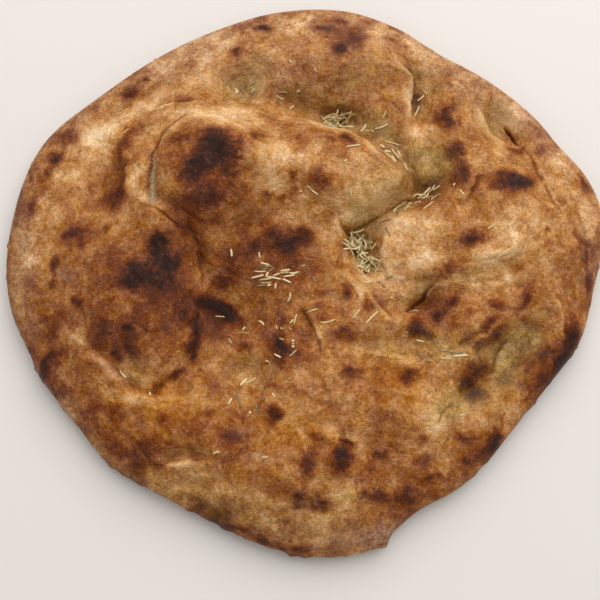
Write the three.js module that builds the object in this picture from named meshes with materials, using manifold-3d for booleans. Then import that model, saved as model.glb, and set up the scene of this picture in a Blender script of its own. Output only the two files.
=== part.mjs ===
// A large round focaccia, one flat and uneven loaf with dried rosemary needles baked onto its top.
// Units are millimetres, +Z is up, and the loaf rests on z = 0 with its middle over the origin.

import * as THREE from "three";
import { mergeVertices } from "three/addons/utils/BufferGeometryUtils.js";
import Module from "manifold-3d";

const wasm = await Module();
wasm.setup();

// ---- Driving dimensions ----------------------------------------------------------------------

const GIRTH_HEIGHT = 9; // where the side bulges out furthest
const FOOT_INSET = 9; // the flat underside stays this far inside the widest line
const CROWN_HEIGHT = 27; // the plain top, before its swells, dimples and creases
const SHOULDER_WIDTH = 46; // the side rounds over into the top across this distance
const SHOULDER_POWER = 2; // 2 is a quarter of an ellipse, more is squarer
const FADE_WIDTH = 22; // swells and dimples die out this close to the widest line

const TOP_RINGS = 31; // rings of vertices from the middle of the top to the widest line
const SIDE_RINGS = 3; // rings from the widest line down to the flat underside
const EDGE_CROWDING = 0.3; // 0 spaces the top rings evenly, 1 packs them close to the edge

const NEEDLE_RADIUS = 0.7;
const NEEDLE_SIDES = 3;
const NEEDLE_LIFT = 0.2; // the middle of a needle lies this far above the crust
const NEEDLE_SHORTEST = 5;
const NEEDLE_LONGEST = 11;
const NEEDLE_SEED = 11;

// The widest line of the loaf, seen from above, counter-clockwise from the right.
const OUTLINE = [
  [171, 24], [164, 52], [147, 74], [132, 93], [107, 114], [78, 131], [54, 147], [22, 158],
  [-17, 157], [-55, 145], [-90, 127], [-124, 102], [-150, 79], [-164, 51], [-171, 12], [-168, -20],
  [-156, -47], [-148, -63], [-129, -86], [-112, -106], [-90, -121], [-54, -139], [-34, -149],
  [-9, -157], [13, -159], [40, -154], [47, -146], [62, -134], [84, -122], [104, -103], [122, -81],
  [139, -61], [154, -41], [162, -16],
];

// Swells rise and dimples sink. Each is an ellipse of half axes long and wide, turned by a number of
// degrees; a power of 2 is a soft bell, and a higher power is a plateau with steep sides.
const SWELLS = [
  { name: "collar round the burnt blister", x: -62, y: 53, long: 44, wide: 42, turn: 0, rise: 7, power: 6 },
  { name: "burnt blister", x: -54, y: 53, long: 34, wide: 31, turn: 0, rise: 12, power: 5 },
  { name: "slope right of the blister", x: -24, y: 42, long: 42, wide: 30, turn: -10, rise: 2, power: 2 },
  { name: "left dome", x: -92, y: -18, long: 44, wide: 36, turn: 80, rise: 11, power: 3 },
  { name: "middle bulge", x: 22, y: 56, long: 52, wide: 27, turn: -12, rise: 14, power: 3.5 },
  { name: "right lobe", x: 92, y: 14, long: 52, wide: 26, turn: 5, rise: 8, power: 3 },
  { name: "upper right lobe", x: 104, y: 52, long: 30, wide: 20, turn: -20, rise: 6, power: 2 },
  { name: "upper middle lobe", x: 28, y: 118, long: 34, wide: 15, turn: 0, rise: 7, power: 3 },
  { name: "lower right fold", x: 92, y: -32, long: 34, wide: 12, turn: 20, rise: 5, power: 2 },
  { name: "lower middle lobe", x: 28, y: -76, long: 48, wide: 26, turn: 0, rise: 6, power: 2 },
  { name: "lower left lobe", x: -62, y: -92, long: 34, wide: 20, turn: -25, rise: 5, power: 2 },
  { name: "small scorched blister", x: 18, y: -106, long: 8, wide: 7, turn: 60, rise: 3.5, power: 2.5 },
  { name: "rosemary pit", x: 32, y: 9, long: 16, wide: 9, turn: 100, rise: -12, power: 2.5 },
  { name: "black pit", x: -46, y: -18, long: 22, wide: 13, turn: -35, rise: -10, power: 2 },
  { name: "upper left hollow", x: -36, y: 107, long: 16, wide: 12, turn: 20, rise: -10, power: 2.5 },
  { name: "upper middle hollow", x: 14, y: 87, long: 22, wide: 8, turn: -12, rise: -7, power: 2 },
  { name: "hollow at the bulge's tip", x: 68, y: 57, long: 18, wide: 13, turn: -60, rise: -10, power: 2 },
  { name: "long upper dimple", x: 69, y: 99, long: 22, wide: 8, turn: 80, rise: -9, power: 2 },
  { name: "thumb dimple", x: 110, y: 83, long: 16, wide: 12, turn: -50, rise: -11, power: 2.5 },
  { name: "slit hollow", x: 62, y: -20, long: 15, wide: 9, turn: 35, rise: -6, power: 2 },
  { name: "oily hollow", x: 43, y: -45, long: 24, wide: 8, turn: 0, rise: -6, power: 2 },
  { name: "lower left hollow", x: -32, y: -60, long: 11, wide: 9, turn: 0, rise: -7, power: 2 },
  { name: "lower right hollow", x: 92, y: -68, long: 20, wide: 11, turn: 35, rise: -8, power: 2 },
  { name: "right hollow", x: 114, y: -49, long: 22, wide: 9, turn: 52, rise: -7, power: 2 },
  { name: "hollow left of the collar", x: -118, y: 40, long: 26, wide: 10, turn: 85, rise: -7, power: 2 },
  { name: "valley by the upper left rim", x: -92, y: 98, long: 40, wide: 9, turn: 35, rise: -4, power: 2 },
];

// Creases follow a smooth path and fade out at its ends. One sinks by depth along its line, where a
// negative depth makes a raised fold, and its left bank stands higher than the right by step.
const CREASES = [
  {
    name: "blister edge", depth: 3, step: 0, width: 3,
    path: [[-64, 88], [-78, 82], [-85, 68], [-88, 50], [-89, 38]],
  },
  {
    name: "blister foot", depth: 5, step: -3, width: 4.5,
    path: [[-91, 40], [-76, 29], [-65, 17], [-59, 0], [-58, -18]],
  },
  {
    name: "collar step", depth: 0, step: 7, width: 4,
    path: [[-56, 94], [-80, 93], [-97, 85], [-106, 70], [-103, 56], [-102, 42], [-106, 30]],
  },
  {
    name: "rosemary groove", depth: 12, step: 0, width: 6.5,
    path: [[28, 8], [36, 22], [53, 34], [70, 43], [84, 54]],
  },
  {
    name: "upper valley", depth: 8, step: 0, width: 8,
    path: [[-36, 104], [-6, 94], [14, 87], [36, 74], [53, 61], [74, 44]],
  },
  {
    name: "long dimple edge", depth: 3, step: -8, width: 3.5,
    path: [[54, 132], [60, 118], [63, 108], [61, 92], [59, 80], [62, 70]],
  },
  {
    name: "thumb dimple slit", depth: 4, step: 4, width: 4,
    path: [[106, 88], [117, 77], [125, 62], [130, 46]],
  },
  { name: "lobe notch", depth: 3, step: 0, width: 4, path: [[78, 32], [88, 32], [100, 36]] },
  { name: "right slit", depth: 4, step: -2, width: 3, path: [[78, -8], [63, -21], [52, -27]] },
  {
    name: "black slit", depth: 3, step: 2, width: 7,
    path: [[-68, -10], [-51, -19], [-41, -26], [-28, -36]],
  },
  {
    name: "left dome side", depth: 3, step: -5, width: 4.5,
    path: [[-58, -28], [-62, -46], [-68, -59], [-78, -65], [-88, -76]],
  },
  {
    name: "left dome foot", depth: 2, step: -5, width: 4.5,
    path: [[-124, -44], [-105, -57], [-95, -69], [-80, -74]],
  },
  { name: "middle edge", depth: 0, step: 5, width: 4, path: [[-4, -22], [3, -35], [6, -50]] },
  { name: "right rim lip", depth: 4, step: 0, width: 4, path: [[144, -8], [146, -26], [140, -48]] },
  { name: "lower left pleat", depth: 3, step: 0, width: 4, path: [[-78, -110], [-64, -104], [-50, -107]] },
  { name: "lower rim layer", depth: 3, step: 0, width: 4, path: [[-84, -126], [-65, -121], [-50, -129]] },
  { name: "right fold", depth: -3, step: 0, width: 4, path: [[119, 24], [115, 8], [103, 3], [84, 2]] },
];
const BANK_REACH = 8; // a step between two banks levels out across this distance
const CREASE_FADE = 0.3; // share of a crease's length over which it fades out at either end
const PATH_STEPS = 14; // straight stretches that stand for one smooth crease

// Where the rosemary lies: the needles of a bed are spread over an ellipse, and lie in its own
// direction, give or take the wander, both in degrees.
const NEEDLE_BEDS = [
  {
    name: "rosemary pit", x: 33, y: 10, long: 13, wide: 6,
    turn: 100, count: 20, lie: 60, wander: 70,
  },
  {
    name: "rosemary groove", x: 54, y: 34, long: 25, wide: 3,
    turn: 32, count: 12, lie: 35, wander: 30,
  },
  {
    name: "middle heap", x: -18, y: 0, long: 14, wide: 6,
    turn: 0, count: 13, lie: 8, wander: 30,
  },
  {
    name: "upper middle hollow", x: 26, y: 83, long: 13, wide: 5,
    turn: -25, count: 12, lie: -10, wander: 60,
  },
  {
    name: "upper left hollow", x: -35, y: 105, long: 9, wide: 7,
    turn: 30, count: 7, lie: 65, wander: 40,
  },
  {
    name: "long upper dimple", x: 66, y: 100, long: 16, wide: 4,
    turn: 80, count: 4, lie: 60, wander: 40,
  },
  {
    name: "round the black pit", x: -20, y: -36, long: 34, wide: 18,
    turn: 10, count: 14, lie: 20, wander: 90,
  },
  {
    name: "lower left hollow", x: -32, y: -66, long: 16, wide: 12,
    turn: 0, count: 7, lie: 40, wander: 80,
  },
  {
    name: "below the rosemary pit", x: 34, y: -20, long: 22, wide: 14,
    turn: 0, count: 7, lie: 30, wander: 40,
  },
  {
    name: "right side", x: 84, y: -36, long: 40, wide: 26,
    turn: -10, count: 6, lie: 0, wander: 70,
  },
];

// ---- Small helpers ---------------------------------------------------------------------------

const clamp01 = (value) => Math.min(Math.max(value, 0), 1);
const smoothstep = (value) => value * value * (3 - 2 * value);

// Numbers from 0 to 1 that are the same on every run.
function seededRandom(seed) {
  let state = seed;
  return () => {
    state = (state * 1664525 + 1013904223) % 4294967296;
    return state / 4294967296;
  };
}

function smoothCurve(corners, closed, steps) {
  const points = corners.map(([x, y]) => new THREE.Vector3(x, y, 0));
  return new THREE.CatmullRomCurve3(points, closed, "catmullrom").getPoints(steps);
}

// The distance from a place to a path, the bank it lies on (1 is left) and how far along it is (0 to 1).
function nearestOnPath(x, y, points) {
  let nearest = { distance: Infinity, bank: 1, share: 0 };
  for (let i = 1; i < points.length; i += 1) {
    const from = points[i - 1];
    const dx = points[i].x - from.x;
    const dy = points[i].y - from.y;
    const along = clamp01(((x - from.x) * dx + (y - from.y) * dy) / (dx * dx + dy * dy));
    const offX = x - from.x - along * dx;
    const offY = y - from.y - along * dy;
    const distance = Math.hypot(offX, offY);
    if (distance < nearest.distance) {
      const bank = Math.sign(dx * offY - dy * offX);
      nearest = { distance, bank, share: (i - 1 + along) / (points.length - 1) };
    }
  }
  return nearest;
}

// ---- Form of the loaf ------------------------------------------------------------------------

// The outline as a smooth closed curve, kept as a radius for each whole degree.
function outlineRadii() {
  const nearest = new Array(360).fill(null);
  for (const { x, y } of smoothCurve(OUTLINE, true, 1440)) {
    const degrees = (THREE.MathUtils.radToDeg(Math.atan2(y, x)) + 360) % 360;
    const slot = Math.round(degrees) % 360;
    const miss = Math.abs(((degrees - slot + 540) % 360) - 180);
    if (!nearest[slot] || miss < nearest[slot].miss) {
      nearest[slot] = { miss, radius: Math.hypot(x, y) };
    }
  }
  return nearest.map(({ radius }) => radius);
}

const EDGE_RADII = outlineRadii();

function edgeRadius(angle) {
  const degrees = (THREE.MathUtils.radToDeg(angle) + 720) % 360;
  const lower = Math.floor(degrees);
  const mix = degrees - lower;
  return EDGE_RADII[lower % 360] * (1 - mix) + EDGE_RADII[(lower + 1) % 360] * mix;
}

// The rounded shoulder, 0 at the widest line and 1 where the plain top begins.
function shoulder(inset) {
  const open = 1 - clamp01(inset / SHOULDER_WIDTH);
  return (1 - open ** SHOULDER_POWER) ** (1 / SHOULDER_POWER);
}

function swellHeight(x, y, { x: cx, y: cy, long, wide, turn, rise, power }) {
  const angle = THREE.MathUtils.degToRad(turn);
  const along = (x - cx) * Math.cos(angle) + (y - cy) * Math.sin(angle);
  const across = (y - cy) * Math.cos(angle) - (x - cx) * Math.sin(angle);
  return rise * Math.exp(-(Math.hypot(along / long, across / wide) ** power));
}

for (const crease of CREASES) {
  crease.points = smoothCurve(crease.path, false, PATH_STEPS);
}

function creaseHeight(x, y, { points, depth, step, width }) {
  const { distance, bank, share } = nearestOnPath(x, y, points);
  const furrow = -depth * Math.exp(-((distance / width) ** 2));
  const banks = 0.5 * step * bank * Math.tanh((2 * distance) / width) * Math.exp(-distance / BANK_REACH);
  return (furrow + banks) * smoothstep(clamp01(Math.min(share, 1 - share) / CREASE_FADE));
}

// Gentle waves that keep any part of the top from being perfectly plain.
function unevenness(x, y) {
  const broad = Math.sin(x / 19 + 1.3) * Math.cos(y / 23 - 0.4);
  const fine = Math.sin((x + y) / 11) * Math.cos((x - 1.4 * y) / 13 + 2);
  return 1.1 * broad + 0.7 * fine;
}

// A small sideways drift, so that the edges of swells and creases wander as dough does.
function drifted(x, y) {
  return [
    x + 0.9 * Math.sin(y / 8 + 1) + 0.5 * Math.sin(y / 4.1 + x / 7),
    y + 0.9 * Math.sin(x / 9 - 0.5) + 0.5 * Math.sin(x / 4.7 - y / 6),
  ];
}

function topHeight(x, y) {
  const inset = edgeRadius(Math.atan2(y, x)) - Math.hypot(x, y);
  const plain = (CROWN_HEIGHT - GIRTH_HEIGHT) * shoulder(inset);
  const [featureX, featureY] = drifted(x, y);
  let relief = unevenness(x, y);
  for (const swell of SWELLS) {
    relief += swellHeight(featureX, featureY, swell);
  }
  for (const crease of CREASES) {
    relief += creaseHeight(featureX, featureY, crease);
  }
  return GIRTH_HEIGHT + plain + relief * smoothstep(clamp01(inset / FADE_WIDTH));
}

// ---- Mesh of the loaf ------------------------------------------------------------------------

// The top is a disc of rings, with six more vertices in each ring than in the one inside it.
const ringStart = (ring) => (ring === 0 ? 0 : 1 + 3 * ring * (ring - 1));
const ringVertex = (ring, place) => ringStart(ring) + (ring === 0 ? 0 : place % (6 * ring));

function topPositions() {
  const positions = [];
  for (let ring = 0; ring <= TOP_RINGS; ring += 1) {
    const share = ring / TOP_RINGS;
    const reach = THREE.MathUtils.lerp(share, Math.sin((share * Math.PI) / 2), EDGE_CROWDING);
    const count = Math.max(6 * ring, 1);
    for (let place = 0; place < count; place += 1) {
      const angle = (2 * Math.PI * place) / count;
      const radius = reach * edgeRadius(angle);
      const x = radius * Math.cos(angle);
      const y = radius * Math.sin(angle);
      positions.push(x, y, topHeight(x, y));
    }
  }
  return positions;
}

// From the widest line the side curves down and in, as a quarter of an ellipse, to the underside.
function sidePositions() {
  const positions = [];
  const count = 6 * TOP_RINGS;
  for (let ring = 1; ring <= SIDE_RINGS; ring += 1) {
    const fall = (ring / SIDE_RINGS) * (Math.PI / 2);
    for (let place = 0; place < count; place += 1) {
      const angle = (2 * Math.PI * place) / count;
      const radius = edgeRadius(angle) - FOOT_INSET * (1 - Math.cos(fall));
      const height = GIRTH_HEIGHT * (1 - Math.sin(fall));
      positions.push(radius * Math.cos(angle), radius * Math.sin(angle), height);
    }
  }
  return positions;
}

function topTriangles() {
  const triangles = [];
  for (let ring = 1; ring <= TOP_RINGS; ring += 1) {
    for (let sector = 0; sector < 6; sector += 1) {
      for (let step = 0; step < ring; step += 1) {
        const outer = sector * ring + step;
        const inner = sector * (ring - 1) + step;
        triangles.push(ringVertex(ring - 1, inner), ringVertex(ring, outer), ringVertex(ring, outer + 1));
        if (step < ring - 1) {
          triangles.push(
            ringVertex(ring - 1, inner), ringVertex(ring, outer + 1), ringVertex(ring - 1, inner + 1),
          );
        }
      }
    }
  }
  return triangles;
}

function sideTriangles() {
  const triangles = [];
  const count = 6 * TOP_RINGS;
  const underside = ringStart(TOP_RINGS) + (SIDE_RINGS + 1) * count;
  for (let ring = 0; ring < SIDE_RINGS; ring += 1) {
    const upper = ringStart(TOP_RINGS) + ring * count;
    for (let place = 0; place < count; place += 1) {
      const next = (place + 1) % count;
      triangles.push(upper + place, upper + count + place, upper + next);
      triangles.push(upper + next, upper + count + place, upper + count + next);
    }
  }
  const foot = underside - count;
  for (let place = 0; place < count; place += 1) {
    triangles.push(foot + ((place + 1) % count), foot + place, underside);
  }
  return triangles;
}

function loafGeometry() {
  const positions = [...topPositions(), ...sidePositions(), 0, 0, 0];
  const geometry = new THREE.BufferGeometry();
  geometry.setAttribute("position", new THREE.Float32BufferAttribute(positions, 3));
  geometry.setIndex([...topTriangles(), ...sideTriangles()]);
  return geometry;
}

// ---- Rosemary needles ------------------------------------------------------------------------

// A needle is a thin straight prism from one point to the other, with an edge along its top.
function needleGeometry(from, to) {
  const positions = [];
  const heading = to.clone().sub(from).normalize();
  const sideways = new THREE.Vector3(-heading.y, heading.x, 0).normalize();
  const upward = heading.clone().cross(sideways);
  for (const point of [from, to]) {
    for (let side = 0; side < NEEDLE_SIDES; side += 1) {
      const angle = (2 * Math.PI * side) / NEEDLE_SIDES + Math.PI / 2;
      const corner = point.clone();
      corner.addScaledVector(sideways, NEEDLE_RADIUS * Math.cos(angle));
      corner.addScaledVector(upward, NEEDLE_RADIUS * Math.sin(angle));
      positions.push(corner.x, corner.y, corner.z);
    }
  }
  const triangles = [];
  for (let side = 0; side < NEEDLE_SIDES; side += 1) {
    const next = (side + 1) % NEEDLE_SIDES;
    triangles.push(side, next, NEEDLE_SIDES + side);
    triangles.push(next, NEEDLE_SIDES + next, NEEDLE_SIDES + side);
  }
  for (let side = 2; side < NEEDLE_SIDES; side += 1) {
    triangles.push(0, side, side - 1);
    triangles.push(NEEDLE_SIDES, NEEDLE_SIDES + side - 1, NEEDLE_SIDES + side);
  }
  const geometry = new THREE.BufferGeometry();
  geometry.setAttribute("position", new THREE.Float32BufferAttribute(positions, 3));
  geometry.setIndex(triangles);
  return geometry;
}

// The place on the crust straight below a point high above it.
function dropOnto(loaf, x, y) {
  const ray = new THREE.Raycaster(new THREE.Vector3(x, y, 4 * CROWN_HEIGHT), new THREE.Vector3(0, 0, -1));
  const place = ray.intersectObject(loaf)[0].point;
  place.z += NEEDLE_LIFT;
  return place;
}

function needleInBed(bed, loaf, random) {
  const turn = THREE.MathUtils.degToRad(bed.turn);
  const bearing = 2 * Math.PI * random();
  const reach = Math.sqrt(random());
  const along = bed.long * reach * Math.cos(bearing);
  const across = bed.wide * reach * Math.sin(bearing);
  const x = bed.x + along * Math.cos(turn) - across * Math.sin(turn);
  const y = bed.y + along * Math.sin(turn) + across * Math.cos(turn);
  const lie = THREE.MathUtils.degToRad(bed.lie + bed.wander * (2 * random() - 1));
  const length = THREE.MathUtils.lerp(NEEDLE_SHORTEST, NEEDLE_LONGEST, random());
  const halfX = (length / 2) * Math.cos(lie);
  const halfY = (length / 2) * Math.sin(lie);
  return needleGeometry(dropOnto(loaf, x - halfX, y - halfY), dropOnto(loaf, x + halfX, y + halfY));
}

function allNeedles(loaf) {
  const random = seededRandom(NEEDLE_SEED);
  const needles = [];
  for (const bed of NEEDLE_BEDS) {
    for (let i = 0; i < bed.count; i += 1) {
      needles.push(needleInBed(bed, loaf, random));
    }
  }
  return needles;
}

// ---- Joining ---------------------------------------------------------------------------------

function toManifold(geometry) {
  const merged = mergeVertices(geometry);
  return new wasm.Manifold(new wasm.Mesh({
    numProp: 3,
    vertProperties: new Float32Array(merged.attributes.position.array),
    triVerts: new Uint32Array(merged.index.array),
  }));
}

function fromManifold(solid) {
  const { vertProperties, triVerts } = solid.getMesh();
  const geometry = new THREE.BufferGeometry();
  geometry.setAttribute("position", new THREE.BufferAttribute(vertProperties, 3));
  geometry.setIndex(new THREE.BufferAttribute(triVerts, 1));
  geometry.computeVertexNormals();
  return geometry;
}

// Overlapping needles can shut in a hollow or leave a scrap: only the outer shell is kept.
function outerShell(solid) {
  const shells = solid.decompose();
  return shells.reduce((best, shell) => (shell.volume() > best.volume() ? shell : best));
}

function centreOverOrigin(geometry) {
  geometry.computeBoundingBox();
  const middle = geometry.boundingBox.getCenter(new THREE.Vector3());
  geometry.translate(-middle.x, -middle.y, 0);
}

function focaccia() {
  const crust = new THREE.MeshStandardMaterial({ color: 0xb07a43, roughness: 0.8, metalness: 0 });
  const loaf = new THREE.Mesh(loafGeometry(), crust);
  let solid = toManifold(loaf.geometry);
  for (const needle of allNeedles(loaf)) {
    solid = solid.add(toManifold(needle));
  }
  const geometry = fromManifold(outerShell(solid));
  centreOverOrigin(geometry);
  const mesh = new THREE.Mesh(geometry, crust);
  mesh.name = "focaccia";
  return mesh;
}

const model = new THREE.Group();
model.name = "focaccia_loaf";
model.add(focaccia());

export default model;
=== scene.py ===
"""A large round focaccia with dried rosemary needles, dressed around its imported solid.

The loaf's form is the solid's own: an outline, a rounded shoulder, swells and creases. This mesh is finer,
and adds the small relief of the crust, its browning, the rosemary and a dusting of flour.
Tables and form functions are in millimetres, and meshes are in metres.
"""
import functools
import math

import bpy
import numpy as np
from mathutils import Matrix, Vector


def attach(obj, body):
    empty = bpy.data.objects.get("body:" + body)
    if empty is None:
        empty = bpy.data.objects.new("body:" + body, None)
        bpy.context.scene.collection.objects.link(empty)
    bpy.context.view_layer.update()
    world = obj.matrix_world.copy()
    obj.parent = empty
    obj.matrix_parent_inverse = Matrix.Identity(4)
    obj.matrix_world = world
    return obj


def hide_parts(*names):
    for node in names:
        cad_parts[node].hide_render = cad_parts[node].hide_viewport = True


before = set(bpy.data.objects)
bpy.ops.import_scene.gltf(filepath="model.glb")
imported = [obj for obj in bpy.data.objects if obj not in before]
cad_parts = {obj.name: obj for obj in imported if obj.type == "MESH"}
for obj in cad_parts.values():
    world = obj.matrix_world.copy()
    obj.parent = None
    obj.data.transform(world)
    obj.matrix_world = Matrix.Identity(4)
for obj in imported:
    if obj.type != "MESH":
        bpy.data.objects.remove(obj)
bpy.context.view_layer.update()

MM = 0.001

# ---- Form of the loaf, as in the solid ---------------------------------------------------------

GIRTH_HEIGHT = 9.0  # where the side bulges out furthest
FOOT_INSET = 9.0  # the flat underside stays this far inside the widest line
CROWN_HEIGHT = 27.0  # the plain top, before its swells, dimples and creases
SHOULDER_WIDTH = 46.0
SHOULDER_POWER = 2.0  # 2 is a round shoulder
FADE_WIDTH = 22.0  # swells and dimples die out this close to the widest line
BANK_REACH = 8.0  # a step between two banks levels out across this distance
CREASE_CUTOFF = 6  # and a crease has died out at this many times that distance
CREASE_FADE = 0.3  # share of a crease's length over which it fades out at either end
PATH_STEPS = 14  # straight stretches that stand for one smooth crease
OUTLINE_STEPS = 1440  # and for the outline

OUTLINE = [
    (171, 24), (164, 52), (147, 74), (132, 93), (107, 114), (78, 131), (54, 147), (22, 158), (-17, 157),
    (-55, 145), (-90, 127), (-124, 102), (-150, 79), (-164, 51), (-171, 12), (-168, -20), (-156, -47),
    (-148, -63), (-129, -86), (-112, -106), (-90, -121), (-54, -139), (-34, -149), (-9, -157), (13, -159),
    (40, -154), (47, -146), (62, -134), (84, -122), (104, -103), (122, -81), (139, -61), (154, -41),
    (162, -16),
]

# x, y, half length, half width, turn in degrees, rise, power (2 is a bell, more is a plateau).
SWELLS = {
    "collar round the burnt blister": (-62, 53, 44, 42, 0, 7, 6),
    "burnt blister": (-54, 53, 34, 31, 0, 12, 5),
    "slope right of the blister": (-24, 42, 42, 30, -10, 2, 2),
    "left dome": (-92, -18, 44, 36, 80, 11, 3),
    "middle bulge": (22, 56, 52, 27, -12, 14, 3.5),
    "right lobe": (92, 14, 52, 26, 5, 8, 3),
    "upper right lobe": (104, 52, 30, 20, -20, 6, 2),
    "upper middle lobe": (28, 118, 34, 15, 0, 7, 3),
    "lower right fold": (92, -32, 34, 12, 20, 5, 2),
    "lower middle lobe": (28, -76, 48, 26, 0, 6, 2),
    "lower left lobe": (-62, -92, 34, 20, -25, 5, 2),
    "small scorched blister": (18, -106, 8, 7, 60, 3.5, 2.5),
    "rosemary pit": (32, 9, 16, 9, 100, -12, 2.5),
    "black pit": (-46, -18, 22, 13, -35, -10, 2),
    "upper left hollow": (-36, 107, 16, 12, 20, -10, 2.5),
    "upper middle hollow": (14, 87, 22, 8, -12, -7, 2),
    "hollow at the bulge's tip": (68, 57, 18, 13, -60, -10, 2),
    "long upper dimple": (69, 99, 22, 8, 80, -9, 2),
    "thumb dimple": (110, 83, 16, 12, -50, -11, 2.5),
    "slit hollow": (62, -20, 15, 9, 35, -6, 2),
    "oily hollow": (43, -45, 24, 8, 0, -6, 2),
    "lower left hollow": (-32, -60, 11, 9, 0, -7, 2),
    "lower right hollow": (92, -68, 20, 11, 35, -8, 2),
    "right hollow": (114, -49, 22, 9, 52, -7, 2),
    "hollow left of the collar": (-118, 40, 26, 10, 85, -7, 2),
    "valley by the upper left rim": (-92, 98, 40, 9, 35, -4, 2),
}

# depth (a negative one is a raised fold), rise of the left bank over the right, half width, path.
CREASES = {
    "blister edge": (3, 0, 3, [(-64, 88), (-78, 82), (-85, 68), (-88, 50), (-89, 38)]),
    "blister foot": (5, -3, 4.5, [(-91, 40), (-76, 29), (-65, 17), (-59, 0), (-58, -18)]),
    "collar step": (0, 7, 4,
        [(-56, 94), (-80, 93), (-97, 85), (-106, 70), (-103, 56), (-102, 42), (-106, 30)]),
    "rosemary groove": (12, 0, 6.5, [(28, 8), (36, 22), (53, 34), (70, 43), (84, 54)]),
    "upper valley": (8, 0, 8, [(-36, 104), (-6, 94), (14, 87), (36, 74), (53, 61), (74, 44)]),
    "long dimple edge": (3, -8, 3.5, [(54, 132), (60, 118), (63, 108), (61, 92), (59, 80), (62, 70)]),
    "thumb dimple slit": (4, 4, 4, [(106, 88), (117, 77), (125, 62), (130, 46)]),
    "lobe notch": (3, 0, 4, [(78, 32), (88, 32), (100, 36)]),
    "right slit": (4, -2, 3, [(78, -8), (63, -21), (52, -27)]),
    "black slit": (3, 2, 7, [(-68, -10), (-51, -19), (-41, -26), (-28, -36)]),
    "left dome side": (3, -5, 4.5, [(-58, -28), (-62, -46), (-68, -59), (-78, -65), (-88, -76)]),
    "left dome foot": (2, -5, 4.5, [(-124, -44), (-105, -57), (-95, -69), (-80, -74)]),
    "middle edge": (0, 5, 4, [(-4, -22), (3, -35), (6, -50)]),
    "right rim lip": (4, 0, 4, [(144, -8), (146, -26), (140, -48)]),
    "lower left pleat": (3, 0, 4, [(-78, -110), (-64, -104), (-50, -107)]),
    "lower rim layer": (3, 0, 4, [(-84, -126), (-65, -121), (-50, -129)]),
    "right fold": (-3, 0, 4, [(119, 24), (115, 8), (103, 3), (84, 2)]),
}

# ---- Small relief that only this mesh has --------------------------------------------------------

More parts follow.
